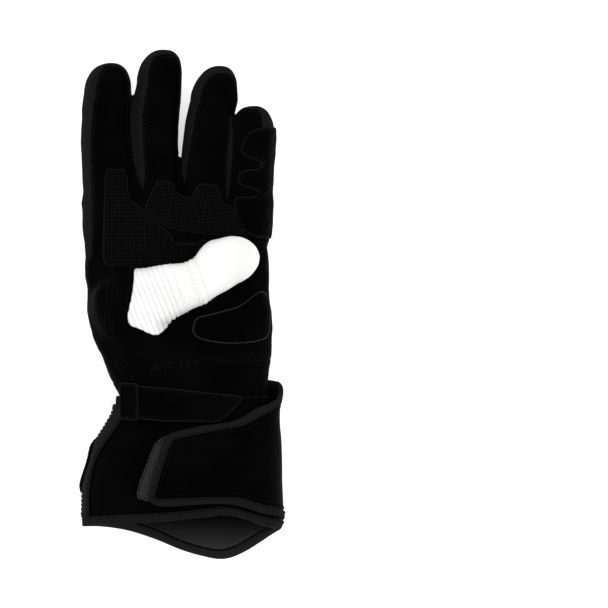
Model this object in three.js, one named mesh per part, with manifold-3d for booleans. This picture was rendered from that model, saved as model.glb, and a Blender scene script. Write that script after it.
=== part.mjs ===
// A left motorcycle racing glove lying on its back, palm up, with its thumb folded across the palm.
// Millimetres, +Z up off the table, fingers towards +Y, little finger towards +X.
// The origin is on the table, under the middle of the glove.
import * as THREE from "three";
import { mergeVertices } from "three/addons/utils/BufferGeometryUtils.js";
import Module from "manifold-3d";

const wasm = await Module();
wasm.setup();

// Driving sizes
const LEATHER = 2.2; // wall of the hand and the fingers
const CUFF_WALL = 2.1;
const SEAM = 0.35; // gap between two sewn pieces
const PATCH = 1.6; // height of a piece sewn on the palm
const GUARD = 1.5; // little finger's outer panel
const HEEL_PAD = 2.8;
const STRAP = 2.2;
const LOOP = 1.6; // wall of the loop that keeps the strap
const FLAT_TAPE = 1.0; // height of the tape down the cuff's side
const TAPE_IN = 1.5; // how far the tape round the cuff's rim stands inside its wall
const TAPE_OUT = 0.7; // and outside it
const LINING = 1.1;
const HOOK = 1.1; // height of the hook strip
const FLAP_WALL = 2.0;
const FLAP_TAPE_OUT = 0.5; // how far the tape round the flap stands proud of it
const BINDING = 5.4; // visible width of the tape round the cuff's edges
const CUFF_TOP = -58; // y of the gauntlet's upper edge under the strap
const TURNS = 28; // facets round the cuff
const GIRTH = 330; // round the cuff, for laying panels out flat
const FAR = 220; // longer than any piece, for cutting tools

// Sections of the palm and the wrist: middle x, half width, underside and top.
const HAND = [
  { y: -66, x: 7.0, half: 42.2, low: 9.8, top: 43.2 },
  { y: -56, x: 6.8, half: 43.7, low: 8.4, top: 44.8 },
  { y: -44, x: 4.9, half: 47.5, low: 6.0, top: 44.0 },
  { y: -32, x: 2.8, half: 50.7, low: 4.0, top: 43.0 },
  { y: -20, x: 0.6, half: 53.6, low: 2.5, top: 41.5 },
  { y: -8, x: -0.8, half: 55.0, low: 1.5, top: 39.5 },
  { y: 10, x: -2.2, half: 54.7, low: -0.2, top: 37.0 },
  { y: 30, x: -3.0, half: 55.0, low: -0.6, top: 35.0 },
  { y: 50, x: -3.2, half: 55.2, low: 0.0, top: 33.0 },
  { y: 61, x: -3.4, half: 55.6, low: 3.0, top: 31.0 },
  { y: 68, x: -3.6, half: 53.0, low: 8.0, top: 26.5 },
];
const SECTION_POWER = 2.7; // of the rounded sections of the hand and the cuff, 2 is an ellipse

// Fingers, from inside the palm to where the round tip starts: middle, half width, half thickness.
// roll turns a finger about its length, which shows its side wall; tip is the round end's length.
const FINGERS = [
  {
    name: "index",
    roll: 20,
    tip: 20,
    lean: 2,
    rows: [
      { y: 46, x: -43.0, z: 17.5, half: 14.4, thick: 13.0 },
      { y: 80, x: -44.2, z: 18.0, half: 15.0, thick: 12.5 },
      { y: 101, x: -45.4, z: 20.0, half: 14.5, thick: 12.0 },
      { y: 115, x: -45.2, z: 22.6, half: 14.3, thick: 11.5 },
      { y: 126, x: -44.2, z: 25.4, half: 13.8, thick: 10.9 },
    ],
  },
  {
    name: "middle",
    roll: 22,
    tip: 20,
    lean: 3,
    rows: [
      { y: 46, x: -15.0, z: 17.5, half: 13.4, thick: 13.0 },
      { y: 78, x: -15.0, z: 17.8, half: 13.3, thick: 12.7 },
      { y: 96, x: -16.1, z: 19.2, half: 13.6, thick: 12.3 },
      { y: 114, x: -15.7, z: 22.2, half: 14.0, thick: 11.7 },
      { y: 133, x: -13.2, z: 27.4, half: 13.2, thick: 10.8 },
    ],
  },
  {
    name: "ring",
    roll: 21,
    tip: 21,
    lean: 4,
    rows: [
      { y: 46, x: 12.4, z: 17.5, half: 13.4, thick: 12.8 },
      { y: 76, x: 12.8, z: 18.1, half: 13.4, thick: 12.4 },
      { y: 96, x: 14.5, z: 20.4, half: 13.5, thick: 11.9 },
      { y: 112, x: 17.2, z: 23.6, half: 14.0, thick: 11.3 },
      { y: 122, x: 19.7, z: 26.4, half: 13.8, thick: 10.8 },
    ],
  },
  {
    name: "little",
    roll: -20,
    tip: 17,
    lean: 1,
    rows: [
      { y: 44, x: 39.6, z: 17.5, half: 12.3, thick: 12.2 },
      { y: 74, x: 40.9, z: 19.2, half: 12.2, thick: 11.4 },
      { y: 94, x: 42.1, z: 22.0, half: 12.4, thick: 10.7 },
      { y: 102, x: 42.2, z: 23.6, half: 12.7, thick: 10.3 },
    ],
  },
];
const FINGER_POWER = 2.9; // of the fingers' rounded sections
const WALL_SHARE = 0.74; // the side walls' share of a finger's thickness
const WALL_LEAST = 2.8; // half height of the side wall where it goes over the tip

// The thumb lies across the palm. along runs up its length, across is square to that in the palm's plane.
const THUMB_ANGLE = THREE.MathUtils.degToRad(20);
const THUMB = [
  { along: -40, across: 8.5, z: 30.0, half: 17.0, thick: 15.5 },
  { along: -30, across: 9.0, z: 34.0, half: 20.0, thick: 15.2 },
  { along: -20, across: 9.6, z: 37.6, half: 20.6, thick: 14.6 },
  { along: -12, across: 10.2, z: 40.8, half: 18.0, thick: 13.8 },
  { along: -3, across: 10.1, z: 44.4, half: 16.0, thick: 13.0 },
  { along: 5, across: 9.8, z: 47.6, half: 14.6, thick: 12.3 },
  { along: 11, across: 9.6, z: 49.6, half: 13.7, thick: 11.8 },
  { along: 16, across: 10.5, z: 51.0, half: 14.1, thick: 11.6 },
  { along: 22, across: 12.6, z: 52.0, half: 15.7, thick: 11.8 },
  { along: 28, across: 13.9, z: 52.4, half: 16.3, thick: 11.9 },
  { along: 36, across: 14.3, z: 52.4, half: 15.4, thick: 11.5 },
];
const THUMB_TIP = 18;
const THUMB_LEAN = -1; // how far the tip bends off its line
const RIB = { from: -35.5, to: -2.5, pitch: 3.3, height: 1.3 }; // the ribbed stretch panel
const BAND = { from: -2.5, to: 12.6 };
const PIPING = { from: 12.6, to: 15.2, height: 0.7 };

// The mound at the thumb's root, from the wrist up to the thumb.
const MOUND = [
  { x: -6, y: -50, z: 27, r: 14.5 },
  { x: -14, y: -36, z: 29.5, r: 18 },
  { x: -23, y: -20, z: 29.5, r: 20 },
  { x: -30, y: -4, z: 29.5, r: 20 },
  { x: -33, y: 9, z: 27.5, r: 17.5 },
];

// Sections of the gauntlet's base and of the flap that wraps it.
const CUFF = [
  { y: -44, x: 7.0, half: 47.0, low: 6.0, top: 46.8 },
  { y: -58, x: 6.8, half: 46.3, low: 5.8, top: 47.6 },
  { y: -64, x: 6.2, half: 47.4, low: 5.0, top: 49.0 },
  { y: -72, x: 4.2, half: 50.6, low: 3.2, top: 52.5 },
  { y: -82, x: 1.6, half: 54.0, low: 1.8, top: 57.0 },
  { y: -94, x: 0.0, half: 56.0, low: 1.0, top: 61.5 },
  { y: -108, x: -1.1, half: 57.3, low: 0.6, top: 65.0 },
  { y: -124, x: -0.8, half: 57.9, low: 0.3, top: 67.5 },
  { y: -158, x: -0.4, half: 59.0, low: 0.3, top: 69.0 },
];
const FLAP = [
  { y: -40, x: 8.2, half: 52.2, low: 2.0, top: 53.0 },
  { y: -50, x: 8.4, half: 52.8, low: 2.0, top: 53.6 },
  { y: -58, x: 7.8, half: 51.9, low: 1.6, top: 54.0 },
  { y: -70, x: 4.8, half: 54.2, low: 0.0, top: 56.6 },
  { y: -82, x: 1.6, half: 58.3, low: -2.1, top: 61.3 },
  { y: -94, x: 0.0, half: 60.3, low: -2.9, top: 65.8 },
  { y: -108, x: -1.1, half: 61.6, low: -3.3, top: 69.3 },
  { y: -124, x: -0.8, half: 62.2, low: -3.4, top: 71.8 },
  { y: -158, x: -0.4, half: 63.3, low: -3.4, top: 73.3 },
];

// The cuff's open end, seen from above: y of its edge on the palm side and on the back.
const RIM = [
  { x: -61, front: -133.5, back: -133.5 },
  { x: -50, front: -132.5, back: -133.5 },
  { x: -34, front: -131.8, back: -135.5 },
  { x: -15, front: -130.8, back: -141.0 },
  { x: 3, front: -129.4, back: -148.0 },
  { x: 15, front: -128.0, back: -151.3 },
  { x: 28, front: -126.6, back: -153.0 },
  { x: 41, front: -129.5, back: -148.5 },
  { x: 50, front: -133.0, back: -143.2 },
  { x: 61, front: -136.0, back: -136.0 },
];

// Outlines of the sewn-on pieces, seen from above, or from the palm side on the cuff.
const INDEX_PATCH = [
  [-45.5, 79.5], [-41, 80.6], [-35.5, 80.2], [-33.6, 77.5], [-31.8, 68], [-29.5, 60.5],
  [-25, 56], [-19.5, 51.5], [-14, 46.2], [-8.5, 41], [-5, 37.5], [-3.6, 36.4], [8, 36.2],
  [14, 37.5], [14, 20], [-40, 20.4], [-44.5, 22], [-46.5, 26], [-46.5, 45], [-46, 65],
];
const FINGER_PATCH = [
  [-21.4, 58], [-19, 64], [-16.4, 70], [-14.6, 73], [-9, 73.4], [-5.6, 72], [-3.6, 68],
  [-1.2, 64.6], [6, 63.8], [8.6, 68.5], [11.2, 71.6], [17, 71.8], [21.4, 70], [23.2, 64.5],
  [25.2, 59.6], [31, 57.6], [32.2, 50], [34.4, 46], [37.6, 42.6], [26, 41.8], [14, 42],
  [2, 43.6], [-7, 46], [-12.6, 49.6], [-18.6, 54.6],
];
const GUARD_OUTLINE = [
  [62, 107], [50, 106.2], [43, 103.8], [38.4, 99], [36.8, 91], [46, 86.4], [50, 83.6],
  [46, 81], [36, 79.2], [35.4, 72.4], [43, 69.2], [47.2, 66.4], [43, 64.2], [33, 63],
  [32.6, 57], [35, 49], [39.6, 43.4], [48, 40.6], [62, 40],
];
const HEEL_OUTLINE = [
  [7.2, -14], [9.2, -9], [15, -7.2], [24.5, -4.7], [33.6, -2], [39.6, 1.8], [44.6, 6],
  [48, 7.4], [51, 5.8], [52.6, 1], [53.2, -8], [52.2, -17.8], [48.6, -21.4], [40, -23],
  [27.4, -23.4], [16, -22], [10, -20], [7.4, -17.2],
];
// The lower palm, between the patches and the wrist, with the thumb's mound.
const LOWER_PALM = [
  [-38.1, 19.5], [-38.8, 12], [-41, 2.7], [-42.2, -12], [-41, -21.5], [-36.8, -32],
  [-32, -40.5], [-26, -46], [-20, -46.8], [-18, -37.2], [0, -36], [30, -33.5], [58, -32.2],
  [58, 39.6], [47, 40], [38, 41.4], [14, 19.5],
];
// The thumb's ribbed panel starts at this line.
const THUMB_ROOT = [
  [-28.2, 34], [-30, 10], [-32.7, -10.5], [-16, -18.4], [-4, -26], [64, -26], [64, 60], [-28.2, 60],
];
// The stretch strip down the hand's thumb side.
const INDEX_SIDE = [
  [-FAR, 120], [-53.2, 120], [-53.2, 60], [-53.4, 40], [-54.6, 25], [-56.6, 2], [-FAR, 2],
];
const WRIST_LINE = [
  [-64, -46.8], [-20, -46.8], [-18, -37.2], [0, -36], [30, -33.5], [64, -32],
  [64, -90], [-64, -90],
];
const FLAP_OUTER = [
  [46.5, -62.1], [32.1, -69.9], [13.2, -72.9], [-3.9, -76.5], [-9.9, -80.1], [-15.5, -95.7],
  [-18.3, -104], [-20.3, -117], [-15.3, -120.9], [-8.1, -121.8], [27.3, -120.3], [50.7, -126.3],
];
const FLAP_INNER = [
  [48.6, -67.6], [36.9, -73.6], [22.5, -76.2], [-2.7, -81.3], [-5.9, -84], [-11.7, -100.5],
  [-15.2, -114.3], [-12.9, -116.7], [30.3, -115.5], [49, -119.9],
];
// The flap's other end, round the cuff's little finger side: share of a turn, and y of both edges.
const FLAP_ROOT = [
  { turn: 0.0, top: -53, bottom: -129.6 },
  { turn: -0.05, top: -46.5, bottom: -130.2 },
  { turn: -0.12, top: -45, bottom: -129.6 },
];
const HOOK_OUTLINE = [
  [-3.3, -77.6], [-10.7, -79.6], [-15.5, -83.1], [-19.5, -92.7], [-26.5, -114.6],
  [-26.1, -117], [-20.3, -118.5], [-8, -118.5], [2, -84],
];
// The tape down the cuff's thumb side: its edge on the palm side, and the turn at which it ends.
const SIDE_BINDING = {
  inner: [[-37.5, -66.5], [-44.6, -78.5], [-50.1, -89.7], [-53.2, -100], [-54.9, -114.6], [-54.9, -127.4]],
  turn: 0.51,
  top: -62,
};
const SIDE_PAD = { from: 0.516, to: 0.63, top: -80, bottom: -114, height: 3.2, corner: 7 };
// The wrist strap and the loop that keeps it, read where the strap crosses the wrist.
const STRAP_Y = -60;
const WRIST_STRAP = [
  { x: 34.6, top: -56.0, bottom: -57.5 },
  { x: 29.5, top: -54.9, bottom: -63.2 },
  { x: 21.6, top: -54.1, bottom: -70.6 },
  { x: -9.4, top: -50.6, bottom: -70.2 },
  { x: -33.5, top: -48.3, bottom: -67.8 },
];
const KEEPER = [
  { x: -23.5, top: -48.0, bottom: -69.8 },
  { x: -33.5, top: -47.4, bottom: -68.8 },
];

const COLOUR = {
  leather: 0x0b0b0c,
  wall: 0x1c1c1d,
  binding: 0x1a1a1b,
  white: 0xf3f2ee,
  weave: 0x141415,
  hook: 0x333335,
  lining: 0x262627,
};

// Reads a table column at a value of its key column, on a smooth curve through the rows.
function column(rows, key, name, at) {
  const rising = rows[0][key] < rows[rows.length - 1][key];
  const sorted = rising ? rows : [...rows].reverse();
  const last = sorted.length - 2;
  let i = 0;
  while (i < last && at > sorted[i + 1][key]) i++;
  const [p, q] = [sorted[i], sorted[i + 1]];
  const [before, after] = [sorted[Math.max(i - 1, 0)], sorted[Math.min(i + 2, last + 1)]];
  const span = q[key] - p[key];
  const t = THREE.MathUtils.clamp((at - p[key]) / span, 0, 1);
  const slopeIn = (q[name] - before[name]) / (q[key] - before[key]);
  const slopeOut = (after[name] - p[name]) / (after[key] - p[key]);
  return (
    p[name] * (2 * t ** 3 - 3 * t ** 2 + 1) +
    slopeIn * span * (t ** 3 - 2 * t ** 2 + t) +
    q[name] * (3 * t ** 2 - 2 * t ** 3) +
    slopeOut * span * (t ** 3 - t ** 2)
  );
}

// A point of a rounded outline of half sizes a and b, at a share of a turn from the first axis.
function roundedPoint(turn, a, b, power) {
  const angle = turn * 2 * Math.PI;
  const push = (v) => Math.sign(v) * Math.abs(v) ** (2 / power);
  return [a * push(Math.cos(angle)), b * push(Math.sin(angle))];
}

function solidOf(geometry) {
  geometry.deleteAttribute("normal");
  geometry.deleteAttribute("uv");
  const merged = mergeVertices(geometry, 1e-4);
  const index = new Uint32Array(merged.index.array);
  const vertProperties = new Float32Array(merged.attributes.position.array);
  const made = new wasm.Manifold(new wasm.Mesh({ numProp: 3, vertProperties, triVerts: index }));
  if (made.volume() > 0) return made;
  for (let i = 0; i < index.length; i += 3) [index[i + 1], index[i + 2]] = [index[i + 2], index[i + 1]];
  return new wasm.Manifold(new wasm.Mesh({ numProp: 3, vertProperties, triVerts: index }));
}

function geometryOf(points, triangles) {
  return new THREE.BufferGeometry()
    .setAttribute("position", new THREE.Float32BufferAttribute(points.flat(), 3))
    .setIndex(triangles);
}

// A closed solid through rings of the same number of points, with a flat or pointed end at each side.
function loft(rings, ends = []) {
  const n = rings[0].length;
  const points = rings.flat();
  const triangles = [];
  for (let k = 0; k + 1 < rings.length; k++)
    for (let i = 0; i < n; i++) {
      const [a, b] = [k * n + i, k * n + ((i + 1) % n)];
      triangles.push(a, b, a + n, b, b + n, a + n);
    }
  const middle = (ring) => [0, 1, 2].map((j) => ring.reduce((sum, p) => sum + p[j], 0) / n);
  const first = points.push(ends[0] ?? middle(rings[0])) - 1;
  const last = points.push(ends[1] ?? middle(rings[rings.length - 1])) - 1;
  const top = (rings.length - 1) * n;
  for (let i = 0; i < n; i++) {
    triangles.push(first, (i + 1) % n, i);
    triangles.push(last, top + i, top + ((i + 1) % n));
  }
  return solidOf(geometryOf(points, triangles));
}

// A prism over an outline seen from above.
function prism(outline, low = -FAR, high = FAR) {
  const shape = new THREE.Shape(outline.map(([x, y]) => new THREE.Vector2(x, y)));
  const geometry = new THREE.ExtrudeGeometry(shape, { depth: high - low, bevelEnabled: false });
  return solidOf(geometry.translate(0, 0, low));
}

// The outline moved inwards by a distance, or outwards if it is negative.
function inset(outline, distance) {
  const turned = THREE.ShapeUtils.area(outline.map(([x, y]) => new THREE.Vector2(x, y))) > 0 ? 1 : -1;
  return outline.map((point, i) => {
    const before = outline[(i + outline.length - 1) % outline.length];
    const after = outline[(i + 1) % outline.length];
    const side = ([ax, ay], [bx, by]) => {
      const length = Math.hypot(bx - ax, by - ay);
      return [(-(by - ay) * turned) / length, ((bx - ax) * turned) / length];
    };
    const [n, m] = [side(before, point), side(point, after)];
    const share = Math.max(1 + n[0] * m[0] + n[1] * m[1], 0.5);
    return [
      point[0] + ((n[0] + m[0]) * distance) / share,
      point[1] + ((n[1] + m[1]) * distance) / share,
    ];
  });
}

const join = (solids) => solids.reduce((sum, s) => sum.add(s));
const largest = (solid) => solid.decompose().reduce((a, b) => (b.volume() > a.volume() ? b : a));
const range = (from, to, count) =>
  Array.from({ length: count }, (_, i) => from + ((to - from) * i) / (count - 1));

// The palm and wrist, grown by a distance.
function hand(grow, start = -66) {
  const sides = grow < 0 ? 16 : 22;
  const stations = [start, -54, -42, -30, -16, 4, 32, 52, 62, 68];
  const rings = stations.map((y) => {
    const at = (name) => column(HAND, "y", name, y);
    const [half, middle] = [at("half"), (at("low") + at("top")) / 2];
    const tall = (at("top") - at("low")) / 2;
    const end = y === 68 ? grow : 0;
    return range(0, 1, sides + 1).slice(0, -1).map((turn) => {
      const [dx, dz] = roundedPoint(turn, half + grow, tall + grow, SECTION_POWER);
      return [at("x") + dx, y + end, middle + dz];
    });
  });
  return loft(rings);
}

// Stations of a finger with its round tip: place, half width, half thickness, and how far along.
function fingerStations({ rows, tip, lean }, grow) {
  const end = rows[rows.length - 1];
  const slope = (end.z - rows[rows.length - 2].z) / (end.y - rows[rows.length - 2].y);
  const steps = grow < 0 ? 3 : 4;
  const domed = range(0, 1, steps + 1).slice(1).map((share) => {
    const angle = (share * Math.PI) / 2;
    const out = Math.sin(angle);
    return {
      y: end.y + out * (tip + grow),
      x: end.x + lean * out * out,
      z: end.z + slope * out * tip,
      half: (end.half + grow) * Math.cos(angle) ** 0.9,
      thick: (end.thick + grow) * Math.cos(angle) ** 0.9,
    };
  });
  return [...rows.map((r) => ({ ...r, half: r.half + grow, thick: r.thick + grow })), ...domed];
}

function rolled(finger, station, across, up) {
  const roll = THREE.MathUtils.degToRad(finger.roll);
  return [
    station.x + across * Math.cos(roll) + up * Math.sin(roll),
    station.y,
    station.z - across * Math.sin(roll) + up * Math.cos(roll),
  ];
}

function fingerForm(finger, grow) {
  const sides = grow < 0 ? 8 : 12;
  const stations = fingerStations(finger, grow);
  const pole = stations.pop();
  const rings = stations.map((s) =>
    range(0, 1, sides + 1).slice(0, -1).map((turn) =>
      rolled(finger, s, ...roundedPoint(turn, s.half, s.thick, FINGER_POWER)),
    ),
  );
  return loft(rings, [null, [pole.x, pole.y, pole.z]]);
}

// A cutting tool that follows a finger. from and to are -1 and 1 for the side wall's edges, or far away.
function fingerSlab(finger, from, to, gap) {
  const wide = 26;
  const stations = fingerStations(finger, 0);
  const end = stations[stations.length - 1];
  stations.push({ ...end, y: end.y + 8, thick: 0 });
  const height = (s, side) =>
    Math.abs(side) > 1 ? side : (Math.max(s.thick * WALL_SHARE, WALL_LEAST) + gap) * side;
  const rings = stations.map((s) => {
    const [low, high] = [height(s, from), height(s, to)];
    return [[-wide, low], [wide, low], [wide, high], [-wide, high]].map(([a, b]) =>
      rolled(finger, s, a, b));
  });
  return loft(rings);
}

function thumbPoint(along, across, z) {
  const [c, s] = [Math.cos(THUMB_ANGLE), Math.sin(THUMB_ANGLE)];
  return [along * c - across * s, along * s + across * c, z];
}

// A stretch of the thumb; swell(along) adds to its size there, and the last stretch has the round tip.
function thumbForm(grow, swell = () => 0, stations = THUMB.map((r) => r.along), tipped = true) {
  const sides = grow < 0 ? 8 : 12;
  const end = THUMB[THUMB.length - 1];
  const sections = stations.map((along) => {
    const at = (name) => column(THUMB, "along", name, along);
    const extra = grow + swell(along);
    return { along, across: at("across"), z: at("z"), half: at("half") + extra, thick: at("thick") + extra };
  });
  let pole = null;
  if (tipped) {
    const domed = range(0, 1, grow < 0 ? 4 : 6).slice(1).map((share) => {
      const out = Math.sin((share * Math.PI) / 2);
      const size = Math.cos((share * Math.PI) / 2) ** 0.9;
      return {
        along: end.along + out * (THUMB_TIP + grow),
        across: end.across + THUMB_LEAN * out * out,
        z: end.z,
        half: (end.half + grow) * size,
        thick: (end.thick + grow) * size,
      };
    });
    const last = domed.pop();
    pole = thumbPoint(last.along, last.across, last.z);
    sections.push(...domed);
  }
  const rings = sections.map((s) =>
    range(0, 1, sides + 1).slice(0, -1).map((turn) => {
      const [a, b] = roundedPoint(turn, s.half, s.thick, FINGER_POWER);
      return thumbPoint(s.along, s.across + a, s.z + b);
    }),
  );
  return loft(rings, [null, pole]);
}

// A slice of space square to the thumb.
function thumbSlice(from, to) {
  const box = [[from, -FAR], [to, -FAR], [to, FAR], [from, FAR]];
  return prism(box.map(([along, across]) => thumbPoint(along, across, 0).slice(0, 2)));
}

function mound(grow) {
  const sides = grow < 0 ? 10 : 16;
  const path = new THREE.CatmullRomCurve3(MOUND.map((m) => new THREE.Vector3(m.x, m.y, m.z)));
  const stations = range(0, 1, grow < 0 ? 7 : 9);
  const end = 0.35; // the ends are half as wide, then close
  const rings = stations.map((t) => {
    const [p, forward] = [path.getPoint(t), path.getTangent(t)];
    const side = new THREE.Vector3(forward.y, -forward.x, 0).normalize();
    const up = side.clone().cross(forward);
    const i = t * (MOUND.length - 1);
    const [a, b] = [MOUND[Math.floor(i)], MOUND[Math.ceil(i)]];
    const edge = Math.min(t, 1 - t) < 0.01 ? end : Math.min(t, 1 - t) < 0.13 ? 0.86 : 1;
    const r = (a.r + (b.r - a.r) * (i - Math.floor(i))) * edge + grow;
    return range(0, 1, sides + 1).slice(0, -1).map((turn) => {
      const angle = turn * 2 * Math.PI;
      const q = p.clone().addScaledVector(side, r * Math.cos(angle)).addScaledVector(up, r * Math.sin(angle));
      return [q.x, q.y, q.z];
    });
  });
  return loft(rings);
}

// A point on the gauntlet: turn 0 at the little finger's side, a quarter at the palm side.
function cuffPoint(table, turn, y, grow) {
  const at = (name) => column(table, "y", name, y);
  const tall = (at("top") - at("low")) / 2;
  const [dx, dz] = roundedPoint(turn, at("half") + grow, tall + grow, SECTION_POWER);
  return [at("x") + dx, y, at("low") + tall + dz];
}

// The turn at which the palm side of the gauntlet has this x.
function turnAt(table, x, y) {
  let [near, far] = [0, 0.5];
  for (let i = 0; i < 30; i++) {
    const turn = (near + far) / 2;
    if (cuffPoint(table, turn, y, 0)[0] > x) near = turn;
    else far = turn;
  }
  return (near + far) / 2;
}

const flat = (table, outline) => outline.map(([x, y]) => [turnAt(table, x, y) * GIRTH, y]);

// A piece cut flat to an outline of distance round the cuff and y, and bent to the cuff.
function wrapped(table, outline, inner, outer, { hole = null, cell = 9 } = {}) {
  const [us, vs] = [outline.map((p) => p[0]), outline.map((p) => p[1])];
  const [left, right] = [Math.min(...us) - 1, Math.max(...us) + 1];
  const [low, high] = [Math.min(...vs) - 1, Math.max(...vs) + 1];
  const [columns, rows] = [Math.ceil((right - left) / cell), Math.ceil((high - low) / (cell * 1.8))];
  const slab = new THREE.BoxGeometry(right - left, high - low, 1, columns, rows, 1)
    .translate((left + right) / 2, (low + high) / 2, 0.5);
  const cut = solidOf(slab).intersect(prism(outline, -1, 2));
  const mesh = (hole ? cut.subtract(prism(hole, -1, 2)) : cut).getMesh();
  const points = [];
  for (let i = 0; i < mesh.numVert; i++) {
    const [u, v, w] = mesh.vertProperties.subarray(i * mesh.numProp, i * mesh.numProp + 3);
    points.push(cuffPoint(table, u / GIRTH, v, inner + (outer - inner) * w));
  }
  return solidOf(geometryOf(points, [...mesh.triVerts]));
}

// The y of the cuff's open edge at a turn.
function rimY(turn) {
  const x = cuffPoint(CUFF, turn, -130, 0)[0];
  const whole = turn - Math.floor(turn);
  return column(RIM, "x", whole < 0.5 ? "front" : "back", x);
}

// A strip of the gauntlet between two turns, whose ends are functions of the turn. A whole turn closes.
// All strips share the same even stations, so their facets lie parallel.
function strip({ from, to, low, high, inner, outer, turns = TURNS, extra = [], steps = 1 }) {
  const closed = to - from > 0.999;
  const even = range(0, 1, turns + 1).slice(0, -1).filter((turn) => turn > from && turn < to);
  const rings = (closed ? [0, ...even] : [from, ...even, ...extra, to].sort()).map((turn) => {
    const ys = range(low(turn), high(turn), steps + 1);
    return [
      ...ys.map((y) => cuffPoint(CUFF, turn, y, outer)),
      ...ys.reverse().map((y) => cuffPoint(CUFF, turn, y, inner)),
    ];
  });
  if (!closed) return loft(rings);
  const n = rings[0].length;
  const triangles = [];
  rings.forEach((_, k) => {
    for (let i = 0; i < n; i++) {
      const next = ((k + 1) % rings.length) * n;
      const [a, b, j] = [k * n + i, k * n + ((i + 1) % n), (i + 1) % n];
      triangles.push(a, b, next + i, b, next + j, next + i);
    }
  });
  return solidOf(geometryOf(rings.flat(), triangles));
}

const glove = new THREE.Group();

function addPiece(name, solid, colour, roughness) {
  const mesh = largest(solid).getMesh();
  const points = [];
  for (let i = 0; i < mesh.numVert; i++)
    points.push([...mesh.vertProperties.subarray(i * mesh.numProp, i * mesh.numProp + 3)]);
  const material = new THREE.MeshStandardMaterial({ color: colour, roughness, metalness: 0 });
  const made = new THREE.Mesh(geometryOf(points, [...mesh.triVerts]), material);
  made.name = name;
  glove.add(made);
}

// Space that the wearer's hand fills.
const voids = join([
  hand(-LEATHER, -80),
  mound(-LEATHER),
  thumbForm(-LEATHER),
  ...FINGERS.map((f) => fingerForm(f, -LEATHER)),
]);

const handOuter = hand(0);
const handClear = hand(SEAM);
const fingerShells = FINGERS.map((f) => ({ finger: f, shell: fingerForm(f, 0).subtract(voids) }));

// Everything on the palm side of the hand's side seam.
function palmHalf(gap) {
  const rings = range(-95, 145, 16).map((y) => {
    const at = (name) => column(HAND, "y", name, y);
    const seam = (at("top") + at("low")) / 2 + gap;
    return [[-FAR, y, seam], [FAR, y, seam], [FAR, y, FAR], [-FAR, y, FAR]];
  });
  return loft(rings);
}

const whole = { from: 0, to: 1 };
const rimTop = (turn) => rimY(turn) + BINDING;
const panelEdge = (turn) => rimTop(turn) + SEAM;
const CUFF_PANEL = { ...whole, low: panelEdge, high: () => CUFF_TOP, inner: -CUFF_WALL, outer: 0, steps: 4 };

function buildHand() {
  const root = join([mound(0), thumbForm(0)]).subtract(prism(THUMB_ROOT));
  const black = join([handOuter, root]).subtract(voids);
  const cut = (outline) => [prism(outline), prism(inset(outline, -SEAM))];
  const [wrist, wristClear] = cut(WRIST_LINE);
  const [lower, lowerClear] = cut(LOWER_PALM);
  const [side, sideClear] = cut(INDEX_SIDE);
  const front = black.subtract(wristClear).intersect(palmHalf(SEAM / 2));
  const part = (from, to) => fingerShells.map(({ finger, shell }) =>
    shell.intersect(fingerSlab(finger, from, to, SEAM / 2)));
  const upper = join([front.subtract(sideClear), ...part(1, FAR)]);
  addPiece("palm_panel", upper.subtract(lowerClear), COLOUR.leather, 0.55);
  addPiece("lower_palm", front.subtract(sideClear).intersect(lower), COLOUR.leather, 0.5);
  addPiece("hand_side_wall", front.intersect(side), COLOUR.wall, 0.8);
  const under = black.subtract(wristClear).subtract(palmHalf(-SEAM / 2));
  const table = prism([[-FAR, -FAR], [FAR, -FAR], [FAR, FAR], [-FAR, FAR]], -FAR, 0);
  addPiece("back_panel", join([under, ...part(-FAR, -1)]).subtract(table), COLOUR.leather, 0.55);
  addPiece("wrist_sleeve", black.intersect(wrist), COLOUR.leather, 0.6);
  fingerShells.forEach(({ finger, shell }) => {
    const others = FINGERS.filter((f) => f !== finger).map((f) => fingerForm(f, SEAM));
    const wall = shell.intersect(fingerSlab(finger, -1, 1, -SEAM / 2));
    addPiece(finger.name + "_side_wall", wall.subtract(join([handClear, ...others])), COLOUR.wall, 0.8);
  });
  return table;
}

function buildThumb() {
  const root = prism(inset(THUMB_ROOT, SEAM));
  const keep = (solid) => solid.intersect(root).subtract(voids).subtract(handClear);
  const crests = Math.round((RIB.to - RIB.from) / RIB.pitch);
  const stations = range(RIB.from, RIB.to, crests * 2 + 1);
  const swell = (along) => RIB.height * Math.sin(((along - RIB.from) / RIB.pitch) * Math.PI) ** 2;
  const ribs = thumbForm(0, swell, stations, false).intersect(thumbSlice(-FAR, RIB.to));
  const base = thumbForm(0).add(mound(0)).intersect(thumbSlice(-FAR, RIB.to - 0.01));
  addPiece("thumb_ribs", keep(ribs.add(base)), COLOUR.white, 0.6);
  const whole = thumbForm(0);
  addPiece("thumb_band", keep(whole.intersect(thumbSlice(BAND.from + SEAM, BAND.to))), COLOUR.white, 0.6);
  const piping = thumbForm(PIPING.height).intersect(thumbSlice(PIPING.from + SEAM, PIPING.to));
  addPiece("thumb_piping", keep(piping), COLOUR.white, 0.6);
  addPiece("thumb_tip", keep(whole.intersect(thumbSlice(PIPING.to + SEAM, FAR))), COLOUR.white, 0.6);
}

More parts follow.
